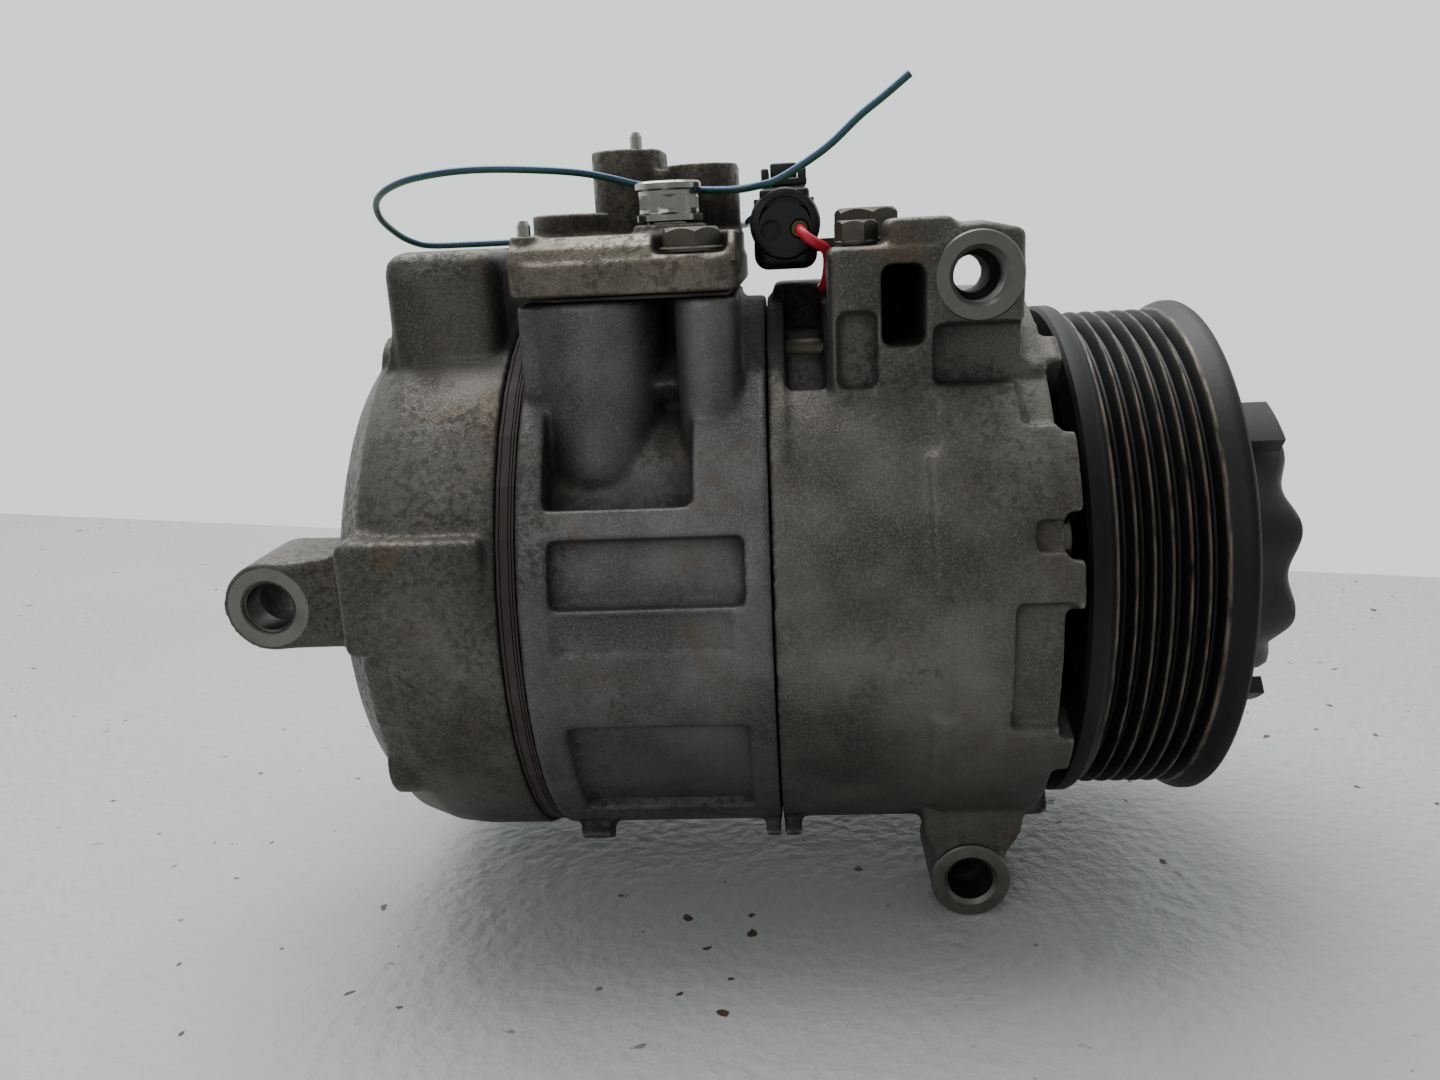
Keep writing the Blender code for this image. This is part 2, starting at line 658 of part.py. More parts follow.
def relief_valve():
    """The pressure relief valve: a hexagon on a collar, with the poppet in its bore."""
    body = turned(
        [
            (0.0893, 0.0062),
            (0.0811, 0.0062),
            (0.0811, 0.0050),
            (0.0715, 0.0050),
            (0.0715, 0.0020),
            (0.0893, 0.0020),
        ],
        16,
        "Z",
        RELIEF,
    )
    hexagon = rod("Z", RELIEF, 0.0816, 0.0886, 0.0072, 6)
    hole = rod("Z", RELIEF, 0.0600, 0.1000, 0.0024, 16)
    piece("relief_valve_body", body, MACHINED, join=[hexagon], cut=[hole])
    profile = [(0.0862, 0.0), (0.0862, 0.0020), (0.0742, 0.0020), (0.0732, 0.0012), (0.0732, 0.0)]
    piece("relief_valve_poppet", turned(profile, 16, "Z", RELIEF, ring=False), STEEL)


def suction_check_valve():
    """A disc on a stem in the deck port that closes when the suction line stops flowing."""
    profile = [
        (0.0760, 0.0),
        (0.0760, 0.0012),
        (0.0720, 0.0012),
        (0.0720, 0.0051),
        (0.0695, 0.0051),
        (0.0690, 0.0040),
        (0.0690, 0.0),
    ]
    piece("suction_check_valve", turned(profile, 16, "Z", DECK_PORT, ring=False), PLASTIC)


def control_valve():
    body = turned(
        [
            (0.0740, 0.0070),
            (0.0740, 0.0088),
            (0.0440, 0.0088),
            (0.0440, 0.0074),
            (0.0390, 0.0074),
            (0.0390, 0.0088),
            (0.0280, 0.0088),
            (0.0280, 0.0074),
            (0.0170, 0.0074),
            (0.0170, 0.0024),
            (0.0700, 0.0024),
            (0.0700, 0.0070),
        ],
        20,
        "Z",
        VALVE,
    )
    piece("control_valve_body", body, STEEL)
    profile = [(0.0640, 0.0), (0.0640, 0.0021), (0.0200, 0.0021), (0.0200, 0.0)]
    piece("control_valve_plunger", turned(profile, 16, "Z", VALVE, ring=False), MACHINED)


def boss_bolts():
    front, rear = BOSS_BOLTS
    piece(
        "boss_bolt_front",
        rod("Z", front, 0.0630, 0.0780, BOLT_R - GAP, 12),
        BOLT,
        join=[rod("Z", front, BOSS_TOP_Z + GAP, 0.0757, 0.0043, 16), rod("Z", front, 0.0752, 0.0796, 0.0044, 6)],
    )
    seat = SEAT_TOP_Z + BRACKET_T + 2 * GAP
    piece(
        "boss_bolt_rear",
        rod("Z", rear, 0.0630, 0.0800, BOLT_R - GAP, 12),
        BOLT,
        join=[rod("Z", rear, seat, 0.0822, 0.0070, 6)],
    )


def connector():
    """The two-pin plug, its latch, the wire seal and the socket behind it."""
    x, z = PLUG
    y_near, y_far = PLUG_Y
    pin_z = z - 0.0012
    shell = rod("Y", PLUG, y_near, y_far, PLUG_R, 32)
    skirt = box((x - 0.0068, y_near + 0.0020, z - 0.0094), (x + 0.0068, y_far, z))
    holes = [
        rod("Y", (x + dx, pin_z), y_near - 0.0100, y_near + 0.0060, 0.0021, 12) for dx in (-0.0030, 0.0030)
    ]
    socket = rod("Y", PLUG, y_far - 0.0060, y_far + 0.0100, 0.0060, 20)
    piece("connector_plug", shell, PLASTIC, join=[skirt], cut=[*holes, socket])
    latch = box((x - 0.0048, y_near + 0.0030, z + PLUG_R + GAP), (x + 0.0048, y_far - 0.0010, z + 0.0092))
    posts = [
        box((x + dx - 0.0009, y_near + 0.0030, z + 0.0085), (x + dx + 0.0009, y_far - 0.0020, z + 0.0112))
        for dx in (-0.0038, 0.0038)
    ]
    thumb = box((x - 0.0028, y_near + 0.0060, z + 0.0085), (x + 0.0028, y_near + 0.0100, z + 0.0124))
    piece("connector_latch", latch, PLASTIC, join=[*posts, thumb])
    seal = tube_ring(
        y_near + 0.0006, y_near + 0.0055, LEAD_D / 2 + 0.0001, 0.0019, 16, "Y", (x + 0.0030, pin_z)
    )
    piece("wire_seal", seal, GREEN)
    insert = rod("Y", PLUG, y_far - 0.0055, y_far + 0.0100, 0.0057, 20)
    collar = rod("Y", PLUG, y_far + 0.0010, y_far + 0.0100, 0.0066, 24)
    piece("connector_socket", insert, PLASTIC, join=[collar])


def connector_bracket():
    """A pressed steel strip under the rear boss bolt, standing behind the plug's socket."""
    x, z = PLUG
    y_back = PLUG_Y[1] + 0.0100 + GAP
    low = SEAT_TOP_Z + GAP
    strip = box((-0.0945, -0.0295, low), (-0.0815, y_back + BRACKET_T, low + BRACKET_T))
    arm = box((x - 0.0070, y_back, low), (-0.0820, y_back + BRACKET_T, low + 2 * BRACKET_T))
    plate = box((x - 0.0070, y_back, low), (x + 0.0070, y_back + BRACKET_T, z + 0.0060))
    hole = rod("Z", BOSS_BOLTS[1], 0.0500, 0.0780, BOLT_R + GAP, 12)
    piece("connector_bracket", strip, STEEL, join=[arm, plate], cut=[hole])


# The wire leaves the socket, passes behind the manifold and the valve tower, loops back over the
# rear cover, runs between the tower and the relief valve and ends bare above the nose.
HARNESS_KNOTS = [
    (-0.1134, -0.0050, 0.0813),
    (-0.1143, 0.0000, 0.0808),
    (-0.1145, 0.0080, 0.0805),
    (-0.1166, 0.0158, 0.0802),
    (-0.1225, 0.0196, 0.0794),
    (-0.1320, 0.0200, 0.0789),
    (-0.1474, 0.0200, 0.0789),
    (-0.1676, 0.0190, 0.0789),
    (-0.1850, 0.0170, 0.0789),
    (-0.1946, 0.0150, 0.0791),
    (-0.1985, 0.0120, 0.0804),
    (-0.2007, 0.0080, 0.0826),
    (-0.2017, 0.0020, 0.0856),
    (-0.2007, -0.0030, 0.0886),
    (-0.1975, -0.0080, 0.0907),
    (-0.1927, -0.0120, 0.0923),
    (-0.1869, -0.0155, 0.0933),
    (-0.1781, -0.0185, 0.0940),
    (-0.1689, -0.0200, 0.0940),
    (-0.1581, -0.0200, 0.0933),
    (-0.1497, -0.0185, 0.0924),
    (-0.1436, -0.0165, 0.0911),
    (-0.1372, -0.0156, 0.0894),
    (-0.1302, -0.0158, 0.0882),
    (-0.1236, -0.0180, 0.0876),
    (-0.1190, -0.0225, 0.0872),
    (-0.1150, -0.0275, 0.0870),
    (-0.1114, -0.0315, 0.0873),
    (-0.1077, -0.0330, 0.0880),
    (-0.1026, -0.0330, 0.0906),
    (-0.0965, -0.0335, 0.0944),
    (-0.0905, -0.0340, 0.0995),
    (-0.0856, -0.0340, 0.1030),
    (-0.0807, -0.0340, 0.1067),
]

# The lead leaves the plug's seal, bends down past the boss and lies on the housing behind it.
LEAD_KNOTS = [
    (-0.1029, -0.0240, 0.0785),
    (-0.1029, -0.0280, 0.0785),
    (-0.1025, -0.0306, 0.0777),
    (-0.1010, -0.0316, 0.0763),
    (-0.0990, -0.0305, 0.0751),
    (-0.0975, -0.0285, 0.0741),
    (-0.0970, -0.0262, 0.0718),
    (-0.0972, -0.0240, 0.0690),
    (-0.0976, -0.0205, 0.0668),
    (-0.0980, -0.0160, 0.0658),
    (-0.0980, -0.0115, 0.0657),
]


def wires():
    piece("harness_wire", tube(smooth_route(HARNESS_KNOTS, 3 * WIRE_D), WIRE_D / 2), BLUE_WIRE)
    piece("lead_wire", tube(smooth_route(LEAD_KNOTS, 1.5 * LEAD_D), LEAD_D / 2), RED_WIRE)


# ---------------------------------------------------------------- fixed inner pieces

def fixed_bearings():
    piece("front_bearing", tube_ring(-0.0620, -0.0480, SHAFT_R + 0.0006, NOSE_BORE_R - GAP), STEEL)
    piece("shaft_seal", tube_ring(-0.0450, -0.0370, SHAFT_R + GAP, NOSE_BORE_R - GAP), RUBBER)
    piece("front_thrust_bearing", tube_ring(-0.0677, -0.0643, 0.0095, 0.0220), STEEL)
    rear = [(-0.1373, 0.0132), (-0.1560, 0.0132), (-0.1560, 0.0073), (-0.1373, 0.0073)]
    piece("rear_bearing", turned(rear), STEEL)
    low, high = BEARING_X
    middle = (low + high) / 2
    race = [
        (high, 0.0206),
        (middle + 0.0030, 0.0206),
        (middle + 0.0018, 0.0196),
        (middle - 0.0018, 0.0196),
        (middle - 0.0030, 0.0206),
        (low, 0.0206),
        (low, NOSE_R + GAP),
        (high, NOSE_R + GAP),
    ]
    piece("bearing_inner_ring", turned(race, 20), STEEL)
    piece("snap_ring", tube_ring(high + 0.0006, high + 0.0019, NOSE_R + GAP, 0.0196), STEEL)


def pistons():
    """Single-headed pistons. Each one's jaws straddle the swash plate's rim."""
    plate_low, plate_high = PLATE_X
    jaw_gap = 0.0043
    jaw_z = (0.0305, 0.0500)
    head = rod("X", (0.0, PITCH_R), BLOCK_REAR + GAP, -0.1334, PISTON_R, 20)
    neck = box((-0.1344, -0.0070, PITCH_R - 0.0065), (-0.1078, 0.0070, PITCH_R + 0.0070))
    rear_jaw = box((-0.1103, -0.0090, jaw_z[0]), (plate_low - jaw_gap, 0.0090, jaw_z[1]))
    front_jaw = box((plate_high + jaw_gap, -0.0090, jaw_z[0]), (-0.0853, 0.0090, jaw_z[1]))
    bridge = box((-0.1094, -0.0089, PLATE_R + 0.0010), (-0.0863, 0.0089, jaw_z[1] - 0.0001))
    for tool in (neck, rear_jaw, front_jaw, bridge):
        apply_tool(head, tool, "UNION")
    copies("piston", head, MACHINED, piston_angles())


# ---------------------------------------------------------------- rotor

def shaft():
    profile = [
        (0.0, 0.0),
        (0.0, 0.0045),
        (-0.0005, 0.0050),
        (-0.0092, 0.0050),
        (-0.0092, 0.0075),
        (-0.0310, 0.0075),
        (-0.0310, SHAFT_R),
        (-0.1371, SHAFT_R),
        (-0.1371, 0.0070),
        (-0.1560, 0.0070),
        (-0.1560, 0.0),
    ]
    piece("drive_shaft", turned(profile, 20, ring=False), STEEL)


def drive_plates():
    """The lug plate, the swash plate, the hinge pin that joins them and the return spring."""
    pin_x, _ = HINGE
    plate_low, plate_high = PLATE_X
    lug_low, lug_high = -0.0780, -0.0680
    hub_front = plate_high + 0.0020
    lug = tube_ring(lug_low, lug_high, SHAFT_R + GAP, 0.0400, 32)
    arms = [
        box((pin_x - 0.0035, min(a, b), 0.0160), (lug_low + 0.0020, max(a, b), 0.0270))
        for a, b in ((0.0063, 0.0110), (-0.0063, -0.0110))
    ]
    pin_hole = rod("Y", HINGE, -0.0200, 0.0200, 0.0028, 16)
    piece("lug_plate", lug, STEEL, join=arms, cut=[pin_hole])
    swash = turned(
        [
            (hub_front, 0.0130),
            (plate_high, 0.0130),
            (plate_high, PLATE_R),
            (plate_low, PLATE_R),
            (plate_low, 0.0130),
            (plate_low - 0.0030, 0.0130),
            (plate_low - 0.0030, SHAFT_R + GAP),
            (hub_front, SHAFT_R + GAP),
        ],
        32,
    )
    ear = box((plate_high - 0.0010, -0.0060, 0.0160), (pin_x + 0.0035, 0.0060, 0.0270))
    ear_hole = rod("Y", HINGE, -0.0200, 0.0200, 0.0028, 16)
    piece("swash_plate", swash, STEEL, join=[ear], cut=[ear_hole])
    piece("hinge_pin", rod("Y", HINGE, -0.0120, 0.0120, 0.0025, 12), STEEL)
    turns = 4
    per_turn = 10
    wire_r = 0.0010
    coil_r = 0.0107
    start = hub_front + wire_r + GAP
    end = lug_low - wire_r - GAP
    points = []
    for i in range(turns * per_turn + 1):
        turn = 2 * math.pi * i / per_turn
        x = start + (end - start) * i / (turns * per_turn)
        points.append((x, coil_r * math.sin(turn), coil_r * math.cos(turn)))
    piece("return_spring", tube(points, wire_r, 1), STEEL)


def pulley():
    """The six-ribbed belt pulley, its bearing's outer ring and the caged balls."""
    points = [
        (PULLEY_FRONT, FLANGE_R - 0.0010),
        (PULLEY_FRONT - 0.0008, FLANGE_R),
        (PULLEY_FRONT - 0.0028, FLANGE_R),
        (PULLEY_FRONT - 0.0059, RIB_TIP_R),
    ]
    for i in reversed(range(RIBS)):
        groove = FIRST_RIB + RIB_PITCH * (i + 0.5)
        points.append((groove + RIB_HALF, RIB_TIP_R))
        points.append((groove, RIB_ROOT_R))
        points.append((groove - RIB_HALF, RIB_TIP_R))
    points += [
        (-0.0428, RIB_TIP_R),
        (-0.0444, FLANGE_R),
        (PULLEY_REAR, FLANGE_R),
        (PULLEY_REAR, 0.0490),
        (-0.0310, 0.0470),
        (-0.0310, 0.0310),
        (PULLEY_REAR + 0.0005, 0.0310),
        (PULLEY_REAR + 0.0005, 0.0263),
        (-0.0226, 0.0263),
        (-0.0226, 0.0310),
        (-0.0260, 0.0310),
        (-0.0260, 0.0470),
        (PULLEY_FRONT, 0.0485),
    ]
    piece("pulley", turned(points, 28), PULLEY_BLACK)
    low, high = BEARING_X
    middle = (low + high) / 2
    race = [
        (high, 0.0260),
        (low, 0.0260),
        (low, 0.0234),
        (middle - 0.0030, 0.0234),
        (middle - 0.0018, 0.0244),
        (middle + 0.0018, 0.0244),
        (middle + 0.0030, 0.0234),
        (high, 0.0234),
    ]
    piece("bearing_outer_ring", turned(race, 20), STEEL)
    cage = tube_ring(middle - 0.0012, middle + 0.0012, BALL_CIRCLE_R - 0.0006, BALL_CIRCLE_R + 0.0006, 27)
    balls = []
    for i in range(BALLS):
        mesh_data = bmesh.new()
        bmesh.ops.create_icosphere(mesh_data, subdivisions=1, radius=BALL_R)
        y, z = around(360 * i / BALLS, BALL_CIRCLE_R)
        bmesh.ops.translate(mesh_data, verts=mesh_data.verts, vec=(middle, y, z))
        balls.append(from_bmesh(mesh_data, smooth=True))
    piece("bearing_cage", cage, STEEL, join=balls)


def box_around(angle, radius, x_range, half_width, half_depth):
    """A box on a radius of the shaft axis, at an angle in degrees from the top."""
    tool = box(
        (x_range[0], -half_width, radius - half_depth), (x_range[1], half_width, radius + half_depth)
    )
    tool.rotation_euler.x = math.radians(angle)
    return tool


def drive_hub():
    """The torque-limiting hub, its rubber damper and the nut on the shaft."""
    hub = turned(
        [
            (HUB_FRONT, 0.0240),
            (0.0025, 0.0300),
            (-0.0005, 0.0345),
            (-0.0035, 0.0400),
            (-0.0060, HUB_R),
            (-0.0148, HUB_R),
            (-0.0148, 0.0125),
            (-0.0300, 0.0125),
            (-0.0300, 0.0078),
            (-0.0095, 0.0078),
            (-0.0095, 0.0140),
            (HUB_FRONT, 0.0140),
        ],
        30,
    )
    sixth = 60
    notches = [
        rod("X", around(sixth * i, HUB_R + 0.0080), -0.0200, 0.0100, 0.0130, 12) for i in range(6)
    ]
    slots = [box_around(sixth * (i + 0.5), 0.0335, (-0.0075, 0.0060), 0.0012, 0.0060) for i in range(6)]
    piece("drive_hub", hub, PLASTIC, cut=[*notches, *slots])
    piece("damper_ring", tube_ring(-0.0256, -0.0152, 0.0314, 0.0450, 32), RUBBER)
    nut = rod("X", (0.0, 0.0), -0.0090, -0.0012, 0.0096, 6)
    piece("hub_nut", nut, BOLT, cut=[rod("X", (0.0, 0.0), -0.0200, 0.0100, 0.0053, 20)])


rear_housing()
cylinder_block()
front_housing()
housing_seals()
through_bolts()
valve_stack()
port_manifold()
manifold_gasket()
manifold_fasteners()
relief_valve()
suction_check_valve()
control_valve()
boss_bolts()
connector()
connector_bracket()
wires()
fixed_bearings()
pistons()
shaft()
drive_plates()
pulley()
drive_hub()
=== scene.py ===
"""Looks of the air conditioning compressor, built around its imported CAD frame.

Metres throughout. +X is the shaft's axis out of the pulley end, +Z is up and the origin is the
centre of the shaft's front face, as in the CAD model.
"""

import json
import math

import bmesh
import bpy
from mathutils import Matrix, Vector


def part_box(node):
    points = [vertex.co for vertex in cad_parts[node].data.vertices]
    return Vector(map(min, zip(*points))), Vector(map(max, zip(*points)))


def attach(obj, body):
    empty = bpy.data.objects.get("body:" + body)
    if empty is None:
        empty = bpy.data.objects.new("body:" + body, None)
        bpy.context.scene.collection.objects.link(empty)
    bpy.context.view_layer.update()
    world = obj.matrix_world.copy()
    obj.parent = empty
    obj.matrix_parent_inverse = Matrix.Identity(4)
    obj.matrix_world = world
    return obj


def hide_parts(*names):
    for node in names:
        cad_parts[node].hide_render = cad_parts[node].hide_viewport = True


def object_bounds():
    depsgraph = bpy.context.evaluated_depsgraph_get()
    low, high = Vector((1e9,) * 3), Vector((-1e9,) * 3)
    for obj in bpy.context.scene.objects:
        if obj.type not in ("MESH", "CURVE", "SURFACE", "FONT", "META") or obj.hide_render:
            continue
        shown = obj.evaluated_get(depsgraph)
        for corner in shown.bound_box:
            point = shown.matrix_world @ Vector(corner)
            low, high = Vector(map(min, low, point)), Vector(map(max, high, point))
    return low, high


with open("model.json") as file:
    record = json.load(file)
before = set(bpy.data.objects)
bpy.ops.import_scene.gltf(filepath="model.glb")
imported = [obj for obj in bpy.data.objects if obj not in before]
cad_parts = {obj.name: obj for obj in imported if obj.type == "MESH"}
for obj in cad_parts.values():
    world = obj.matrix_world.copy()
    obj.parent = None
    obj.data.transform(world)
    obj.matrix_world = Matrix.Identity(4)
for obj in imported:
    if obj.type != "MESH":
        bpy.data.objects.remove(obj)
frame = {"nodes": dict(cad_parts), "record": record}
CAD_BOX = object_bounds()

# ------------------------ dimensions

GAP = 0.0003  # between neighbouring pieces
PAST = 0.0100  # how far a cutter runs past the face it opens
VOXEL = 0.0008  # grain of the remeshed castings, and the manifold's finer one
FINE_VOXEL = 0.0006
KEPT_SHARE = 0.60  # of a remeshed casting's faces

# Stations along the shaft, and the body's radii.
REAR_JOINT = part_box("rear_housing")[1].x
REAR_WALL = -0.2045
BLOCK_REAR, BLOCK_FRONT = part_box("cylinder_block")[0].x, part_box("cylinder_block")[1].x
HOUSING_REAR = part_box("front_housing")[0].x
HOUSING_FRONT = -0.0540
TOOTH_FRONT = -0.0505
NOSE_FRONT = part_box("front_housing")[1].x
PULLEY_REAR, PULLEY_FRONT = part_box("pulley")[0].x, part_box("pulley")[1].x
BODY_R = 0.0640
CRANK_R = 0.0518

# Through bolts and pistons, by their angle in degrees from the top towards -Y.
BOLTS = 7
STEP = 360 / BOLTS
BOLT_PHASE = 20.9
BOLT_CIRCLE_R = 0.0560
BOLT_BORE_R = 0.0034
PISTON_CIRCLE_R = 0.0383
PISTON_BORE_R = 0.0154
SWASH_REAR, SWASH_FRONT = -0.1028, -0.0958
SHOE_R = 0.0038

# Lugs, by the (x, z) of their bores, which run along Y.
LUG_FACE_Y = -0.0450
LUG_BACK_Y = -0.0220
LUG_HOLE_R = 0.0051
LUG_THREAD_R = 0.0038
LUG_RING_R = 0.0088
UPPER_LUG = (-0.0684, 0.0680)
LOWER_LUG = (-0.0688, -0.0648)
REAR_LUG = (-0.2206, 0.0044)
REAR_LUG_R = 0.0100
REAR_LUG_HOLE_R = 0.0055

# The top, by (x, y). A column adds its radius, and a tower lobe is (x, radius, top).
BOSS_TOP_Z = 0.0746
SEAT_TOP_Z = 0.0730
BRACKET_THICK = 0.0015
BOSS_BOLTS = ((-0.0918, -0.0360), (-0.0888, -0.0222))
SEAT_Z = 0.0662
MANIFOLD_LOW, MANIFOLD_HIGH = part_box("port_manifold")
DECK_Z = 0.0790
SHOULDER_Z = 0.0740
WIDE_COLUMN = (-0.1465, -0.0334, 0.0146)
NARROW_COLUMN = (-0.1222, -0.0414, 0.0066)
DECK_PORT = (-0.1512, -0.0250)
TOWER_LOBES = ((-0.1412, 0.0081, 0.0975), (-0.1245, 0.0083, 0.0937))
TOWER_Y = (-0.0030, 0.0070)
RELIEF = (-0.1302, -0.0250)
MANIFOLD_BOLTS = ((-0.1248, -0.0398), (-0.1555, 0.0050))
BOLT_POCKET_Z = 0.0748
PORT_R = 0.0056
PASSAGE_R = PORT_R - 0.0012
PIN_HOLE_R = 0.0017
PINS = ((-0.1384, -0.0078), (-0.1581, -0.0410))
VALVE = (-0.1795, -0.0055)
VALVE_TOWER_Z = 0.0776

# The rotor.
RIBS = 6
RIB_PITCH = 0.00356
FIRST_RIB = -0.0426
RIB_TIP_R = 0.0568
RIB_ROOT_R = 0.0540
FLANGE_R = 0.0586
HUB_R = 0.0415
SCALLOPS = 9
TABS = 3
HUB_SLOTS = 6
BALLS = 9
BALL_R = 0.0021
BALL_CIRCLE_R = 0.0220

# The plug, by its axis's (x, z) and its near and far ends, and the wires.
PLUG = (-0.1059, 0.0797)
PLUG_Y = (-0.0280, -0.0080)
PLUG_R = 0.0074
PIN_DX = 0.0030
WIRE_D = 0.0016
LEAD_D = 0.0022


# ------------------------ camera

def look(location, yaw, pitch, roll, lens):
    """A camera from its bearing right of +Y, its dip below level and its tilt, in degrees."""
    yaw, pitch, roll = (math.radians(a) for a in (yaw, pitch, roll))
    forward = Vector(
        (math.sin(yaw) * math.cos(pitch), math.cos(yaw) * math.cos(pitch), -math.sin(pitch))
    )
    level = Vector((math.cos(yaw), -math.sin(yaw), 0.0))
    upright = level.cross(forward)
    right = level * math.cos(roll) + upright * math.sin(roll)
    up = upright * math.cos(roll) - level * math.sin(roll)
    data = bpy.data.cameras.new("camera")
    data.lens = lens
    data.sensor_width = 36.0
    data.clip_start = 0.01
    camera = bpy.data.objects.new("camera", data)
    turn = Matrix((right, up, -forward)).transposed().to_4x4()
    camera.matrix_world = Matrix.Translation(location) @ turn
    bpy.context.scene.collection.objects.link(camera)
    bpy.context.scene.camera = camera


look(Vector((-0.1071, -0.2700, 0.0769)), -3.68, 15.0, -2.78, 27.91)


# ------------------------ materials

class Shader:
    """A node material, with short calls for the nodes that the finishes here use."""

    def __init__(self, name):
        self.material = bpy.data.materials.new(name)
        self.material.use_nodes = True
        self.tree = self.material.node_tree
        self.shader = self.tree.nodes["Principled BSDF"]
        self.place = self.tree.nodes.new("ShaderNodeTexCoord").outputs["Object"]

    def put(self, socket, value):
        """Links a socket into another, or gives it a value."""
        if isinstance(value, bpy.types.NodeSocket):
            self.tree.links.new(value, socket)
        else:
            socket.default_value = value

    def noise(self, scale, detail=4.0, roughness=0.55, stretch=None):
        """Noise in the object's own coordinates, which stretch may scale by axis."""
        node = self.tree.nodes.new("ShaderNodeTexNoise")
        node.inputs["Scale"].default_value = scale
        node.inputs["Detail"].default_value = detail
        node.inputs["Roughness"].default_value = roughness
        place = self.place
        if stretch:
            scaled = self.tree.nodes.new("ShaderNodeMapping")
            scaled.inputs["Scale"].default_value = stretch
            self.put(scaled.inputs["Vector"], place)
            place = scaled.outputs["Vector"]
        self.put(node.inputs["Vector"], place)
        return node.outputs["Fac"]

    def step(self, value, low, high):
        """0 at low, 1 at high and clamped outside them; low may be the larger one."""
        node = self.tree.nodes.new("ShaderNodeMapRange")
        node.clamp = True
        self.put(node.inputs["Value"], value)
        node.inputs["From Min"].default_value = low
        node.inputs["From Max"].default_value = high
        return node.outputs["Result"]

    def math(self, operation, a, b=0.0):
        """One arithmetic node."""
        node = self.tree.nodes.new("ShaderNodeMath")
        node.operation = operation
        self.put(node.inputs[0], a)
        self.put(node.inputs[1], b)
        return node.outputs[0]

    def mix(self, share, a, b):
        """Two colours mixed."""
        node = self.tree.nodes.new("ShaderNodeMix")
        node.data_type = "RGBA"
        self.put(node.inputs[0], share)
        self.put(node.inputs[6], a)
        self.put(node.inputs[7], b)
        return node.outputs[2]

    def edges(self):
        """Above 0.5 on a convex edge and below it in a corner."""
        return self.tree.nodes.new("ShaderNodeNewGeometry").outputs["Pointiness"]

    def shelter(self, distance):
        """1 deep in a recess or a joint, 0 on an open face."""
        node = self.tree.nodes.new("ShaderNodeAmbientOcclusion")
        node.samples = 6
        node.inputs["Distance"].default_value = distance
        return self.step(node.outputs["AO"], 0.93, 0.45)

    def axis_radius(self):
        """Distance from the shaft's axis."""
        y, z = self.along("Y"), self.along("Z")
        squares = self.math("ADD", self.math("MULTIPLY", y, y), self.math("MULTIPLY", z, z))
        return self.math("SQRT", squares)

    def along(self, axis):
        """The coordinate on one axis."""
        node = self.tree.nodes.new("ShaderNodeSeparateXYZ")
        self.put(node.inputs[0], self.place)
        return node.outputs[axis]

    def between(self, axis, low, high, blur):
        """1 from low to high on one axis, 0 beyond them."""
        value = self.along(axis)
        above = self.step(value, low - blur, low + blur)
        below = self.step(value, high + blur, high - blur)
        return self.math("MULTIPLY", above, below)

    def bump(self, height, strength, distance):
        """Relief in the shading only."""
        node = self.tree.nodes.new("ShaderNodeBump")
        node.inputs["Strength"].default_value = strength
        node.inputs["Distance"].default_value = distance
        self.put(node.inputs["Height"], height)
        self.put(self.shader.inputs["Normal"], node.outputs["Normal"])

    def finish(self, colour, roughness, metallic):
        """Sets the surface and gives the material back."""
        self.put(self.shader.inputs["Base Color"], colour)
        self.put(self.shader.inputs["Roughness"], roughness)
        self.put(self.shader.inputs["Metallic"], metallic)
        return self.material


def rgb(red, green, blue):
    """A colour from its 0 to 255 display values."""
    shares = [c / 255 for c in (red, green, blue)]
    return (*(c / 12.92 if c < 0.04 else ((c + 0.055) / 1.055) ** 2.4 for c in shares), 1.0)


def lighter(tone, by):
    """A 0 to 255 tone raised by some steps."""
    return [min(255, c + by) for c in tone]


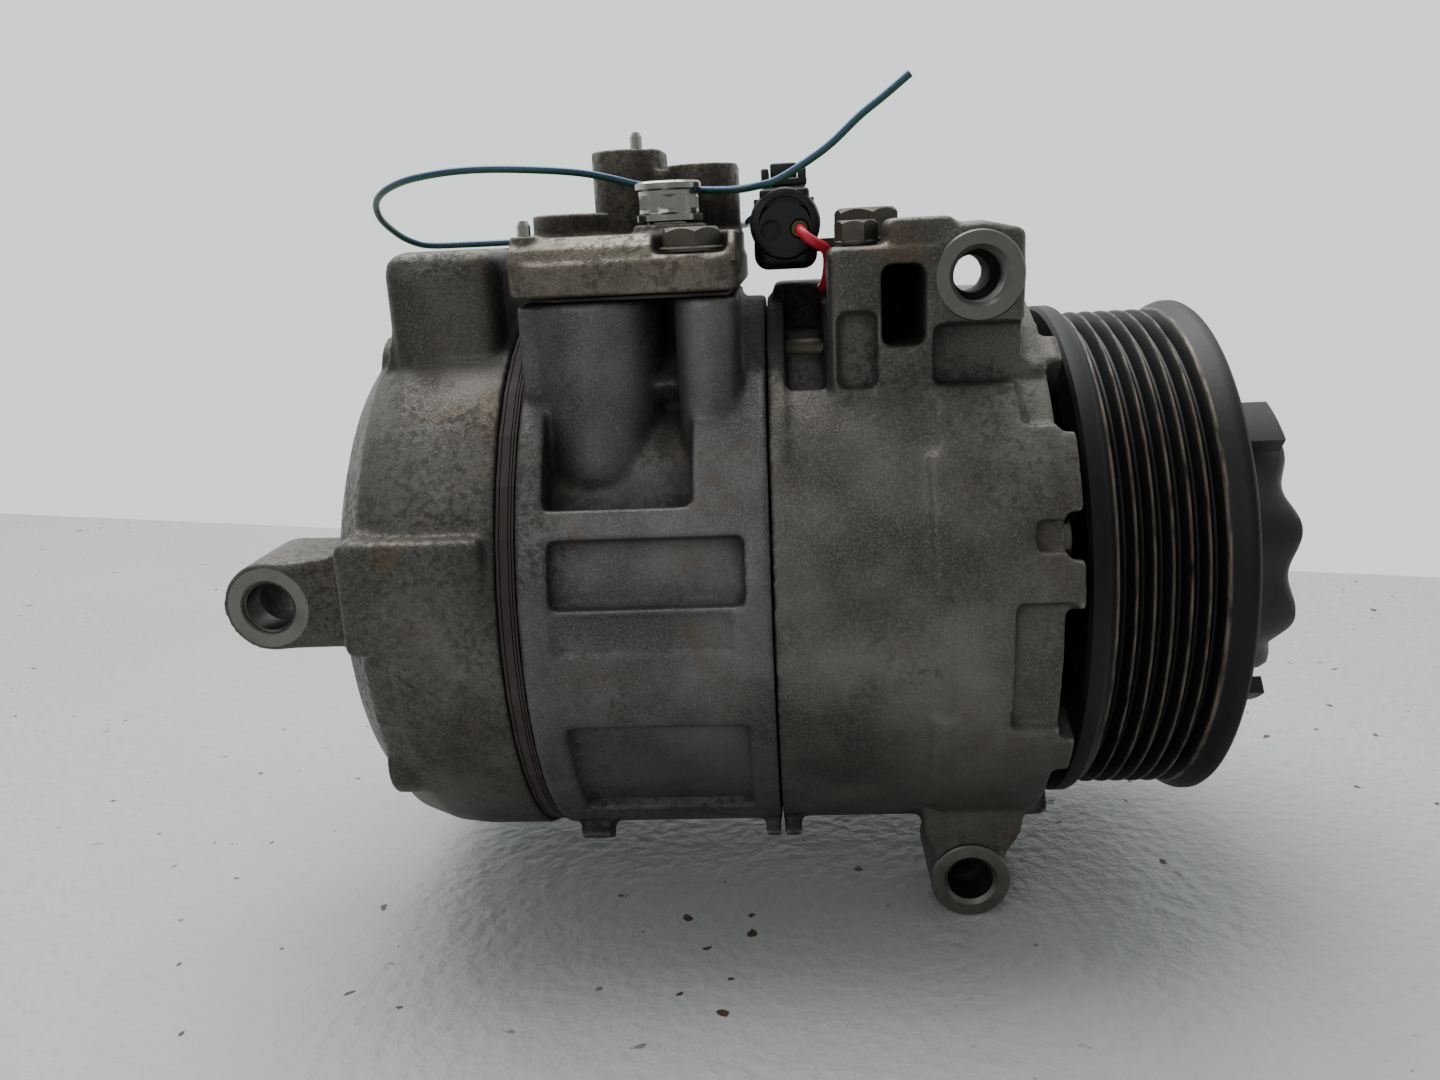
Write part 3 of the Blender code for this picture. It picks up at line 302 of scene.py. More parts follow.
def cast_metal(name, light, mid, dirt_amount, grime_and_shade_tone=(27, 23, 20)):
    """Sand-textured cast aluminium with grime in its speckles, and painted shade in its corners, its
    sunken panels, the hollow behind the plug and towards the bottom.
    """
    s = Shader(name)
    patches = s.noise(35, 5, 0.6)
    base = s.mix(s.step(patches, 0.38, 0.62), rgb(*mid), rgb(*light))
    grain = s.noise(2100, 3, 0.6)
    glints = s.math("MULTIPLY", s.step(grain, 0.46, 0.72), 0.38)
    base = s.mix(glints, base, rgb(*lighter(light, 34)))
    speckle = s.noise(560, 6, 0.75)
    where = s.step(s.noise(24, 6, 0.68), 0.60 - dirt_amount, 0.72 - dirt_amount)
    # painted shade: occlusion darkens recesses and joints
    painted_recess_shade = s.shelter(0.0110)
    # painted shade, darker towards the bottom
    low = s.step(s.along("Z"), -0.010, -0.062)
    spots = s.math("MULTIPLY", s.step(speckle, 0.47, 0.58), s.math("MAXIMUM", where, painted_recess_shade))
    # painted shade in concave corners
    corner = s.step(s.edges(), 0.49, 0.42)
    # dirt speckles plus painted shade from corners, recesses, the hollow behind the plug and the bottom
    soot_and_painted_shade = s.math("ADD", s.math("MULTIPLY", spots, 0.62), s.math("MULTIPLY", corner, 0.60))
    # painted shadow over the hollow behind the plug
    behind_plug = s.between("X", -0.1155, -0.0980, 0.0008)
    painted_hollow_shadow = s.math("MULTIPLY", behind_plug, s.step(s.along("Z"), 0.0490, 0.0515))
    soot_and_painted_shade = s.math("ADD", soot_and_painted_shade, s.math("MULTIPLY", s.math("MAXIMUM", painted_recess_shade, painted_hollow_shadow), 0.78))
    soot_and_painted_shade = s.math("MINIMUM", s.math("ADD", soot_and_painted_shade, s.math("MULTIPLY", low, 0.28)), 0.96)
    rust = s.math("MULTIPLY", s.step(s.noise(60, 5, 0.7), 0.56, 0.70), 0.45)
    colour = s.mix(rust, base, rgb(96, 76, 54))
    # one dark tone mixed in for the dirt and for the painted shade
    colour = s.mix(soot_and_painted_shade, colour, rgb(*grime_and_shade_tone))
    worn = s.math("MULTIPLY", s.step(s.edges(), 0.54, 0.60), 0.55)
    colour = s.mix(worn, colour, rgb(160, 158, 152))
    rough = s.math("ADD", s.math("MULTIPLY", soot_and_painted_shade, 0.34), 0.42)
    metal = s.math("SUBTRACT", 0.85, s.math("MULTIPLY", soot_and_painted_shade, 0.75))
    s.bump(s.math("ADD", grain, s.math("MULTIPLY", speckle, 0.7)), 0.50, 0.00022)
    return s.finish(colour, rough, metal)


def machined(name, tone, roughness, dirt_amount, lines=(1, 1, 1)):
    """Turned or milled metal, with fine tool lines and stains."""
    s = Shader(name)
    cut = s.noise(900, 3, 0.5, lines)
    stain = s.step(s.noise(70, 5, 0.65), 0.62 - dirt_amount * 0.4, 0.80)
    colour = s.mix(s.math("MULTIPLY", cut, 0.35), rgb(*tone), rgb(*[int(c * 0.72) for c in tone]))
    colour = s.mix(s.math("MULTIPLY", stain, 0.65), colour, rgb(58, 50, 42))
    rough = s.math("ADD", s.math("MULTIPLY", stain, 0.30), roughness)
    s.bump(cut, 0.25, 0.00005)
    return s.finish(colour, rough, 0.95)


def moulded(name, tone, roughness, dust=0.25, scale=900):
    """Black or coloured polymer, rubber or paint, with a fine grain and dust."""
    s = Shader(name)
    grain = s.noise(scale, 3, 0.6)
    settled = s.step(s.noise(45, 5, 0.7), 0.50, 0.78)
    colour = s.mix(s.math("MULTIPLY", settled, dust), rgb(*tone), rgb(*lighter(tone, 55)))
    rough = s.math("ADD", s.math("MULTIPLY", grain, 0.20), roughness)
    s.bump(grain, 0.20, 0.00006)
    return s.finish(colour, rough, 0.0)


def pulley_paint():
    """Black paint that the belt has worn off the rib tips."""
    s = Shader("pulley_black_paint")
    radius = s.axis_radius()
    streaks = s.noise(160, 4, 0.6, (9, 1, 1))
    belted = s.between("X", -0.0430, -0.0208, 0.0002)
    crest = s.step(radius, RIB_TIP_R - 0.0004, RIB_TIP_R - 0.0001)
    tips = s.math("MULTIPLY", s.math("MULTIPLY", crest, s.step(streaks, 0.34, 0.62)), belted)
    grain = s.noise(700, 4, 0.65)
    base = s.mix(s.step(grain, 0.50, 0.80), rgb(8, 8, 9), rgb(22, 21, 20))
    colour = s.mix(s.math("MULTIPLY", tips, 0.70), base, rgb(128, 116, 104))
    rough = s.math("SUBTRACT", 0.50, s.math("MULTIPLY", tips, 0.10))
    s.shader.inputs["Specular IOR Level"].default_value = 0.30
    s.bump(grain, 0.35, 0.0001)
    return s.finish(colour, rough, s.math("MULTIPLY", tips, 0.5))


def wire_skin():
    """Thin lacquered insulation, blue on its upper side and green below."""
    s = Shader("wire_blue_green")
    up = s.tree.nodes.new("ShaderNodeSeparateXYZ")
    s.put(up.inputs[0], s.tree.nodes.new("ShaderNodeNewGeometry").outputs["Normal"])
    side = s.step(s.math("ADD", up.outputs["Z"], s.math("MULTIPLY", s.noise(90, 3), 0.5)), 0.0, 0.6)
    return s.finish(s.mix(side, rgb(34, 74, 52), rgb(26, 74, 112)), 0.34, 0.15)


def tabletop():
    """Pale, finely pebbled worktop with a few specks."""
    s = Shader("worktop")
    pebbles = s.tree.nodes.new("ShaderNodeTexVoronoi")
    pebbles.feature = "SMOOTH_F1"
    pebbles.inputs["Scale"].default_value = 260
    s.put(pebbles.inputs["Vector"], s.place)
    tone = s.mix(s.noise(9, 3), rgb(170, 172, 172), rgb(184, 185, 183))
    crumbs = s.step(s.noise(190, 2, 0.4), 0.715, 0.735)
    specks = s.math("MULTIPLY", crumbs, s.step(s.noise(11, 2), 0.44, 0.50))
    colour = s.mix(specks, tone, rgb(74, 56, 42))
    height = s.math("ADD", pebbles.outputs["Distance"], s.noise(420, 2))
    s.bump(height, 0.42, 0.0016)
    return s.finish(colour, 0.50, 0.0)


BODY = cast_metal("cast_body", (106, 103, 97), (74, 71, 67), 0.14)
BLOCK = cast_metal("cast_block", (104, 103, 101), (72, 71, 69), 0.12)
REAR = cast_metal("cast_rear", (98, 95, 89), (68, 65, 60), 0.19)
MANIFOLD = cast_metal("cast_manifold", (112, 106, 95), (72, 66, 57), 0.24, (32, 26, 20))
FACE = machined("machined_face", (122, 120, 115), 0.36, 0.3)
BRIGHT = machined("bright_steel", (172, 170, 164), 0.16, 0.25, (1, 1, 14))
STEEL = machined("inner_steel", (150, 150, 150), 0.30, 0.1, (12, 1, 1))
PISTON = machined("piston_metal", (176, 176, 172), 0.30, 0.1, (14, 1, 1))
BOLT = machined("bolt_metal", (104, 100, 92), 0.45, 0.7)
GASKET = moulded("gasket_brown", (58, 45, 40), 0.62, 0.3)
STACK = moulded("stack_brown", (46, 36, 33), 0.60, 0.3)
RUBBER = moulded("black_rubber", (26, 26, 26), 0.68)
PAINT = pulley_paint()
HUB = moulded("hub_black", (17, 17, 16), 0.42, 0.15, 500)
PLASTIC = moulded("black_plastic", (5, 5, 6), 0.40, 0.03)
GREEN = moulded("green_rubber", (74, 104, 36), 0.50, 0.1)
RED = moulded("wire_red", (206, 38, 62), 0.30, 0.05)
WIRE = wire_skin()

SLOT_FINISH = {
    "cast_aluminium": BODY,
    "machined_aluminium": PISTON,
    "bright_steel": BRIGHT,
    "steel": STEEL,
    "bolt_steel": BOLT,
    "gasket": GASKET,
    "black_rubber": RUBBER,
    "pulley_black": PAINT,
    "black_plastic": PLASTIC,
    "green_rubber": GREEN,
    "red_insulation": RED,
    "blue_insulation": WIRE,
}
NODE_FINISH = {
    "rear_gasket": STACK,
    "valve_plate": STACK,
    "suction_reed_plate": STACK,
    "cylinder_gasket": STACK,
    "connector_bracket": BOLT,
}
SLOT_OF = {part["node"]: part["material_slot"] for part in frame["record"]["subparts"]}
for node, obj in frame["nodes"].items():
    for slot in obj.material_slots:
        slot.material = NODE_FINISH.get(node, SLOT_FINISH[SLOT_OF[node]])


# ------------------------ shapes

def shade(mesh, angle):
    """Smooth shading, with the edges that turn more than the angle kept crisp."""
    mesh.shade_smooth()
    mesh.set_sharp_from_angle(angle=math.radians(angle))


def from_bmesh(mesh_data, angle=35):
    """An object made of the mesh, which is freed."""
    mesh = bpy.data.meshes.new("shape")
    bmesh.ops.recalc_face_normals(mesh_data, faces=mesh_data.faces)
    mesh_data.to_mesh(mesh)
    mesh_data.free()
    shade(mesh, angle)
    return bpy.data.objects.new("shape", mesh)


def bevelled(mesh_data, offset, segments=3):
    """Rounds every edge."""
    edges = mesh_data.edges[:]
    bmesh.ops.bevel(
        mesh_data, geom=edges, offset=offset, segments=segments, profile=0.5, affect="EDGES"
    )


def box(low, high, bevel=0.0, segments=3):
    """A block between two corners."""
    mesh_data = bmesh.new()
    bmesh.ops.create_cube(mesh_data, size=1.0)
    size = Vector(high) - Vector(low)
    middle = (Vector(high) + Vector(low)) / 2
    bmesh.ops.transform(mesh_data, verts=mesh_data.verts, matrix=Matrix.Diagonal((*size, 1.0)))
    bmesh.ops.translate(mesh_data, verts=mesh_data.verts, vec=middle)
    if bevel:
        bevelled(mesh_data, bevel, segments)
    return from_bmesh(mesh_data)


TURN_TO = {
    "X": Matrix.Rotation(math.pi / 2, 4, "Y"),
    "Y": Matrix.Rotation(-math.pi / 2, 4, "X"),
    "Z": Matrix.Identity(4),
}


def placed(axis, centre, along=0.0):
    """Turns +Z to an axis and moves to a centre, whose two coordinates are the other axes."""
    place = list(centre)
    place.insert("XYZ".index(axis), along)
    return Matrix.Translation(place) @ TURN_TO[axis]


def rod(axis, centre, low, high, radius, segments=48):
    """A cylinder along an axis."""
    mesh_data = bmesh.new()
    bmesh.ops.create_cone(
        mesh_data, cap_ends=True, segments=segments, radius1=radius, radius2=radius, depth=high - low
    )
    matrix = placed(axis, centre, (low + high) / 2)
    bmesh.ops.transform(mesh_data, verts=mesh_data.verts, matrix=matrix)
    return from_bmesh(mesh_data)


def turned(profile, segments=96, axis="X", centre=(0.0, 0.0), ring=True):
    """A profile of (station, radius) turned about an axis. With ring, it closes on itself."""
    mesh_data = bmesh.new()
    rows = []
    for i in range(segments):
        turn = 2 * math.pi * i / segments
        rows.append([
            mesh_data.verts.new((-radius * math.cos(turn), -radius * math.sin(turn), station))
            for station, radius in profile
        ])
    count = len(profile)
    for i in range(segments):
        a, b = rows[i], rows[(i + 1) % segments]
        for j in range(count if ring else count - 1):
            k = (j + 1) % count
            mesh_data.faces.new((a[j], b[j], b[k], a[k]))
    bmesh.ops.transform(mesh_data, verts=mesh_data.verts, matrix=placed(axis, centre))
    bmesh.ops.remove_doubles(mesh_data, verts=mesh_data.verts, dist=1e-6)
    return from_bmesh(mesh_data, angle=28)


def prism(axis, outline, low, high, bevel=0.0):
    """A flat outline given a thickness. Its two coordinates are the other axes, in XYZ order."""
    mesh_data = bmesh.new()
    spot = "XYZ".index(axis)
    rings = []
    for along in (low, high):
        ring = []
        for point in outline:
            place = list(point)
            place.insert(spot, along)
            ring.append(mesh_data.verts.new(place))
        rings.append(ring)
    count = len(outline)
    for i in range(count):
        j = (i + 1) % count
        mesh_data.faces.new((rings[0][i], rings[0][j], rings[1][j], rings[1][i]))
    mesh_data.faces.new(rings[0])
    mesh_data.faces.new(rings[1])
    if bevel:
        bevelled(mesh_data, bevel)
    return from_bmesh(mesh_data)


def around(angle, radius):
    """(y, z) at an angle in degrees from the top, turning towards -Y."""
    turn = math.radians(angle)
    return (-radius * math.sin(turn), radius * math.cos(turn))


def sector(x_low, x_high, inner, outer, start, end, count=12):
    """A block of a ring about the shaft, between two angles from the top."""
    angles = [start + (end - start) * i / (count - 1) for i in range(count)]
    points = [around(a, outer) for a in angles] + [around(a, inner) for a in reversed(angles)]
    return prism("X", points, x_low, x_high)


def bolt_angles():
    """The through bolts' angles from the top, in degrees."""
    return [BOLT_PHASE + STEP * i for i in range(BOLTS)]


def piston_angles():
    """The pistons' angles, half way between the bolts."""
    return [a + STEP / 2 for a in bolt_angles()]


def bolt_bores(low, high):
    """Cutters for the through bolts."""
    return [rod("X", around(a, BOLT_CIRCLE_R), low, high, BOLT_BORE_R) for a in bolt_angles()]


WORKSHOP = bpy.data.collections.new("workshop")
bpy.context.scene.collection.children.link(WORKSHOP)


def evaluated(obj):
    """The object's mesh with its modifiers applied, in world space."""
    bpy.context.view_layer.update()
    made = bpy.data.meshes.new_from_object(obj.evaluated_get(bpy.context.evaluated_depsgraph_get()))
    made.transform(obj.matrix_world)
    return made


def combine(base, operation, tool):
    """Adds a Boolean modifier to the base, with the tool put in the workshop."""
    WORKSHOP.objects.link(tool)
    modifier = base.modifiers.new(operation.lower(), "BOOLEAN")
    modifier.operation = operation
    modifier.solver = "EXACT"
    modifier.object = tool


def shape(base, join=(), cut=(), voxel=None, soften=0):
    """Joins and cuts solids. With a voxel size, the result is remeshed and softened."""
    WORKSHOP.objects.link(base)
    for operation, tools in (("UNION", join), ("DIFFERENCE", cut)):
        for tool in tools:
            combine(base, operation, tool)
    if voxel:
        remesh = base.modifiers.new("remesh", "REMESH")
        remesh.mode = "VOXEL"
        remesh.voxel_size = voxel
        remesh.use_smooth_shade = True
        smooth = base.modifiers.new("soften", "SMOOTH")
        smooth.factor = 0.5
        smooth.iterations = soften
        thin = base.modifiers.new("thin", "DECIMATE")
        thin.ratio = KEPT_SHARE
    mesh = evaluated(base)
    for tool in (*join, *cut, base):
        bpy.data.objects.remove(tool)
    return bpy.data.objects.new("shape", mesh)


def show(name, obj, finish, body="housing", node=None):
    """Names a piece, gives it its finish and makes it ride on its body.

    One that stands for a CAD node hides that node.
    """
    obj.name = name
    obj.data.name = name
    obj.data.materials.clear()
    obj.data.materials.append(finish)
    bpy.context.scene.collection.objects.link(obj)
    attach(obj, body)
    if node:
        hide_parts(node)
    return obj


# ------------------------ wires

def smooth_route(knots, spacing):
    """Points a fixed distance apart on the Catmull-Rom curve through the knots."""
    knots = [Vector(k) for k in knots]
    ends = [2 * knots[0] - knots[1], *knots, 2 * knots[-1] - knots[-2]]
    fine = []
    for a, b, c, d in zip(ends, ends[1:], ends[2:], ends[3:]):
        for i in range(24):
            t = i / 24
            fine.append(
                0.5 * (2 * b + (c - a) * t + (2 * a - 5 * b + 4 * c - d) * t**2
                       + (3 * b - 3 * c + d - a) * t**3)
            )
    fine.append(knots[-1])
    travelled = [0.0]
    for a, b in zip(fine, fine[1:]):
        travelled.append(travelled[-1] + (b - a).length)
    count = max(2, round(travelled[-1] / spacing))
    points = []
    i = 0
    for step in range(count + 1):
        wanted = travelled[-1] * step / count
        while i < len(fine) - 2 and travelled[i + 1] < wanted:
            i += 1
        share = (wanted - travelled[i]) / (travelled[i + 1] - travelled[i])
        points.append(fine[i].lerp(fine[i + 1], share))
    return points


def wire(name, knots, diameter, finish, node):
    """A loose, stiff wire along the given knots."""
    points = smooth_route(knots, diameter)
    curve = bpy.data.curves.new(name, "CURVE")
    curve.dimensions = "3D"
    curve.bevel_depth = diameter / 2
    curve.bevel_resolution = 4
    curve.use_fill_caps = True
    spline = curve.splines.new("POLY")
    spline.points.add(len(points) - 1)
    for point, place in zip(spline.points, points):
        point.co = (*place, 1.0)
    spline.use_smooth = True
    obj = show(name, bpy.data.objects.new(name, curve), finish, node=node)


HARNESS_KNOTS = [
    (-0.1134, -0.0050, 0.0813), (-0.1143, 0.0000, 0.0808), (-0.1145, 0.0080, 0.0805),
    (-0.1166, 0.0158, 0.0802), (-0.1225, 0.0196, 0.0794), (-0.1320, 0.0200, 0.0789),
    (-0.1474, 0.0200, 0.0789), (-0.1676, 0.0190, 0.0789), (-0.1850, 0.0170, 0.0789),
    (-0.1946, 0.0150, 0.0791), (-0.1985, 0.0120, 0.0804), (-0.2007, 0.0080, 0.0826),
    (-0.2017, 0.0020, 0.0856), (-0.2007, -0.0030, 0.0886), (-0.1975, -0.0080, 0.0907),
    (-0.1927, -0.0120, 0.0923), (-0.1869, -0.0155, 0.0933), (-0.1781, -0.0185, 0.0940),
    (-0.1689, -0.0200, 0.0940), (-0.1581, -0.0200, 0.0933), (-0.1497, -0.0185, 0.0924),
    (-0.1436, -0.0165, 0.0911), (-0.1372, -0.0156, 0.0894), (-0.1302, -0.0158, 0.0882),
    (-0.1236, -0.0180, 0.0876), (-0.1190, -0.0225, 0.0872), (-0.1150, -0.0275, 0.0870),
    (-0.1114, -0.0315, 0.0873), (-0.1077, -0.0330, 0.0880), (-0.1026, -0.0330, 0.0906),
    (-0.0965, -0.0335, 0.0944), (-0.0905, -0.0340, 0.0995), (-0.0856, -0.0340, 0.1030),
    (-0.0807, -0.0340, 0.1067),
]
LEAD_KNOTS = [
    (-0.1029, -0.0240, 0.0785), (-0.1029, -0.0280, 0.0785), (-0.1025, -0.0306, 0.0777),
    (-0.1010, -0.0316, 0.0763), (-0.0990, -0.0305, 0.0751), (-0.0975, -0.0285, 0.0741),
    (-0.0970, -0.0262, 0.0718), (-0.0972, -0.0240, 0.0690), (-0.0976, -0.0205, 0.0668),
    (-0.0980, -0.0160, 0.0658), (-0.0980, -0.0115, 0.0657),
]
wire("harness_wire_skin", HARNESS_KNOTS, WIRE_D, WIRE, "harness_wire")
wire("lead_wire_skin", LEAD_KNOTS, LEAD_D, RED, "lead_wire")


# ------------------------ castings

def rear_cover():
    """The rear cover with its valve tower, teardrop lug and bolt bosses."""
    skin = turned(
        [
            (REAR_JOINT, BODY_R), (-0.1800, BODY_R), (-0.1870, 0.0632), (-0.1945, 0.0603),
            (-0.2005, 0.0528), (REAR_WALL + 0.0008, 0.0460), (REAR_WALL, 0.0440),
            (REAR_WALL, 0.0010), (-0.1905, 0.0010), (-0.1905, 0.0300), (REAR_JOINT, 0.0300),
            (REAR_JOINT, 0.0330), (-0.1905, 0.0330), (-0.1905, 0.0520), (REAR_JOINT, 0.0520),
        ]
    )
    x, z = REAR_LUG
    joins = [
        box((-0.1915, -0.0330, 0.0310), (-0.1664, 0.0120, VALVE_TOWER_Z), 0.0045),
        prism(
            "Y",
            [(-0.1985, 0.0320), (-0.1720, 0.0320), (-0.1720, 0.0640), (-0.1905, 0.0640)],
            -0.0305,
            0.0080,
        ),
        rod("Z", VALVE, 0.0120, 0.0600, 0.0127),
        rod("Y", REAR_LUG, LUG_FACE_Y, LUG_BACK_Y, REAR_LUG_R),
        prism(
            "Y",
            [
                (x, z - REAR_LUG_R), (-0.1900, z - REAR_LUG_R + 0.0002),
                (-0.1900, z + REAR_LUG_R + 0.0040), (-0.1990, z + REAR_LUG_R + 0.0020),
                (-0.2120, z + REAR_LUG_R - 0.0002), (x, z + REAR_LUG_R),
            ],
            LUG_FACE_Y + 0.0006,
            LUG_BACK_Y,
        ),
        box((-0.1970, -0.0645, -0.0010), (-0.1672, -0.0535, 0.0230), 0.0020),
    ]
    joins += [rod("X", around(a, 0.0545), -0.1955, -0.1672, 0.0087) for a in bolt_angles()]
    joins += [sector(-0.2010, -0.1700, 0.0450, 0.0600, a - 1.6, a + 1.6) for a in (200, 240, 260)]
    cuts = [
        rod("Y", REAR_LUG, LUG_FACE_Y - PAST, LUG_BACK_Y + PAST, REAR_LUG_HOLE_R),
        rod("Z", VALVE, 0.0150, 0.0900, 0.0093),
        *bolt_bores(-0.1880, REAR_JOINT + PAST),
        rod("X", (0.0, 0.0), REAR_WALL - PAST, -0.1830, 0.0025),
    ]
    show("rear_cover", shape(skin, joins, cuts, VOXEL, 4), REAR, node="rear_housing")


def block():
    """The cylinder block: sunk panels, two columns under the manifold and the piston bores."""
    shaft_r = 0.0135
    skin = turned(
        [(BLOCK_FRONT, BODY_R), (BLOCK_REAR, BODY_R), (BLOCK_REAR, shaft_r), (BLOCK_FRONT, shaft_r)]
    )
    recesses = [
        sector(-0.1559, -0.1260, 0.0556, 0.0700, 40, 64.8),
        sector(-0.1550, -0.1160, 0.0608, 0.0700, 70.5, 83),
        sector(-0.1550, -0.1185, 0.0630, 0.0700, 83.8, 91.8),
        sector(-0.1540, -0.1165, 0.0615, 0.0700, 107, 135),
        sector(-0.1572, -0.1150, 0.0620, 0.0700, 200, 232),
        sector(-0.1572, -0.1150, 0.0620, 0.0700, 245, 278),
    ]
    columns = [
        rod("Z", (x, y), 0.0300, SEAT_Z, radius) for x, y, radius in (WIDE_COLUMN, NARROW_COLUMN)
    ]
    wall = box((-0.1608, -0.0400, 0.0400), (-0.1480, 0.0140, SEAT_Z - 0.0002))
    neck = box((-0.1500, -0.0290, 0.0400), (-0.1165, 0.0140, SEAT_Z - 0.0002))
    bore_wall = turned(
        [
            (-0.1150, 0.0), (-0.1150, 0.0192), (-0.1480, 0.0192), (-0.1505, 0.0180),
            (-0.1525, 0.0150), (-0.1535, 0.0),
        ],
        64,
        centre=around(BOLT_PHASE + STEP / 2, PISTON_CIRCLE_R),
        ring=False,
    )
    rib_top = SEAT_Z - 0.0003
    ribs = [
        prism(
            "Y",
            [(-0.1605, 0.0480), (-0.1560, 0.0480), (-0.1560, rib_top), (-0.1605, rib_top)],
            -0.0440,
            -0.0300,
        ),
        sector(-0.1605, -0.1572, 0.0600, 0.0640, 60, 130),
    ]
    feet = [
        sector(low, high, 0.0600, 0.0680, 146, 154)
        for low, high in ((-0.1580, -0.1510), (-0.1145, -0.1112))
    ]
    bores = [
        rod("X", around(a, PISTON_CIRCLE_R), BLOCK_REAR - PAST, BLOCK_FRONT + PAST, PISTON_BORE_R)
        for a in piston_angles()
    ]
    body = shape(shape(skin, feet, recesses), [bore_wall])
    cuts = [
        *bores,
        *bolt_bores(-0.1700, -0.1000),
        turned([(-0.1000, 0.0617), (-0.1129, 0.0617), (-0.1129, 0.0597), (-0.1000, 0.0597)]),
        rod("Z", DECK_PORT, 0.0560, 0.0760, PORT_R),
        rod("Z", MANIFOLD_BOLTS[0], 0.0480, 0.0760, 0.0031),
        rod("Z", MANIFOLD_BOLTS[1], 0.0600, 0.0760, 0.0031),
        rod("Z", (TOWER_LOBES[0][0], TOWER_Y[0]), 0.0590, 0.0760, PASSAGE_R),
    ]
    casting = shape(body, [wall, neck, *columns, *ribs], cuts, VOXEL, 3)
    show("block_casting", casting, BLOCK, node="cylinder_block")


def lug_bore(lug):
    """Cutters for a lug's bore, wide at its face and narrower behind."""
    middle = LUG_FACE_Y + 0.0100
    return [
        rod("Y", lug, LUG_FACE_Y - PAST, middle, LUG_HOLE_R + 0.0004),
        rod("Y", lug, middle - 0.0010, LUG_BACK_Y + 0.0060, LUG_THREAD_R),
    ]


def front_case():
    """The front housing: a slotted top boss, two lugs, a wavy band and teeth at its front edge."""
    skin = turned(
        [
            (NOSE_FRONT, 0.0175), (-0.0490, 0.0175), (-0.0490, 0.0230), (HOUSING_FRONT, 0.0300),
            (HOUSING_FRONT, 0.0642), (-0.0560, 0.0642), (-0.0700, 0.0642), (-0.0740, 0.0636),
            (HOUSING_REAR, 0.0636), (HOUSING_REAR, CRANK_R), (-0.0640, CRANK_R), (-0.0640, 0.0140),
            (NOSE_FRONT, 0.0140),
        ]
    )
    joins = [
        box((-0.0979, LUG_FACE_Y, 0.0350), (-0.0740, -0.0312, BOSS_TOP_Z), 0.0016),
        box((-0.0955, -0.0330, 0.0450), (-0.0745, 0.0080, SEAT_TOP_Z), 0.0008),
        box((-0.0865, -0.0436, 0.0700), (-0.0730, -0.0316, 0.0796), 0.0014),
        box((-0.1090, -0.0100, 0.0550), (-0.0940, 0.0120, 0.0668), 0.0015),
        prism(
            "Y",
            [
                (-0.0760, 0.0380), (-0.0600, 0.0380), (-0.0593, 0.0560), (-0.0593, 0.0765),
                (-0.0680, 0.0785), (-0.0760, 0.0780),
            ],
            LUG_FACE_Y + 0.0010,
            LUG_BACK_Y,
            0.0012,
        ),
        rod("Y", UPPER_LUG, LUG_FACE_Y + 0.0004, LUG_BACK_Y - 0.0010, LUG_RING_R + 0.0003),
        rod("Y", LOWER_LUG, LUG_FACE_Y + 0.0004, LUG_BACK_Y, LUG_RING_R),
        prism(
            "Y",
            [
                (-0.0795, -0.0400), (-0.0790, -0.0540), (-0.0762, -0.0610), (-0.0762, -0.0680),
                (-0.0614, -0.0680), (-0.0614, -0.0610), (-0.0575, -0.0545), (-0.0550, -0.0400),
            ],
            LUG_FACE_Y + 0.0020,
            LUG_BACK_Y - 0.0010,
        ),
        sector(-0.1102, -0.1063, 0.0600, 0.0680, 146, 154),
        sector(-0.1104, -0.1070, 0.0600, 0.0642, 37, 58, 14),
    ]
    wavy_band = (
        (-0.0772, 10, 59, 30),
        (-0.0793, 57, 82, 16),
        (-0.0750, 80, 108, 18),
        (-0.0792, 106, 134, 18),
        (-0.0765, 132, 352, 100),
    )
    joins += [
        sector(rear, -0.0560, 0.0600, 0.0645, start, end, count)
        for rear, start, end, count in wavy_band
    ]
    root = HOUSING_FRONT - 0.0040
    for side in (1, -1):
        for middle, half in ((34.4, 3.5), (60.7, 7.3), (81, 4.5), (116.4, 4.5), (148, 5)):
            angle = side * middle
            joins.append(sector(root, TOOTH_FRONT, 0.0540, 0.0641, angle - half, angle + half))
    cuts = [
        box((-0.0874, -0.0600, 0.0551), (-0.0791, -0.0120, 0.0708), 0.0015),
        box((-0.0962, -0.0500, 0.0470), (-0.0886, -0.0428, 0.0620), 0.0006),
        box((-0.0775, -0.0500, 0.0470), (-0.0570, -0.0405, 0.0588), 0.0012),
        sector(-0.1068, -0.0984, 0.0575, 0.0720, 8, 42),
        sector(-0.0640, -0.0520, 0.0622, 0.0700, 84, 109),
        sector(-0.0610, -0.0520, 0.0625, 0.0700, 40, 52),
        sector(-0.0600, -0.0520, 0.0625, 0.0700, 69.5, 75),
        *[rod("X", around(a, BOLT_CIRCLE_R), -0.0573, -0.0400, 0.0058) for a in bolt_angles()],
        *bolt_bores(-0.1200, -0.0400),
        *[rod("Z", centre, 0.0620, 0.0900, 0.0030) for centre in BOSS_BOLTS],
        *lug_bore(UPPER_LUG),
        *lug_bore(LOWER_LUG),
        rod("X", (0.0, 0.0), -0.1200, -0.0641, CRANK_R + 0.0001, 96),
    ]
    show("front_casting", shape(skin, joins, cuts, VOXEL, 3), BODY, node="front_housing")


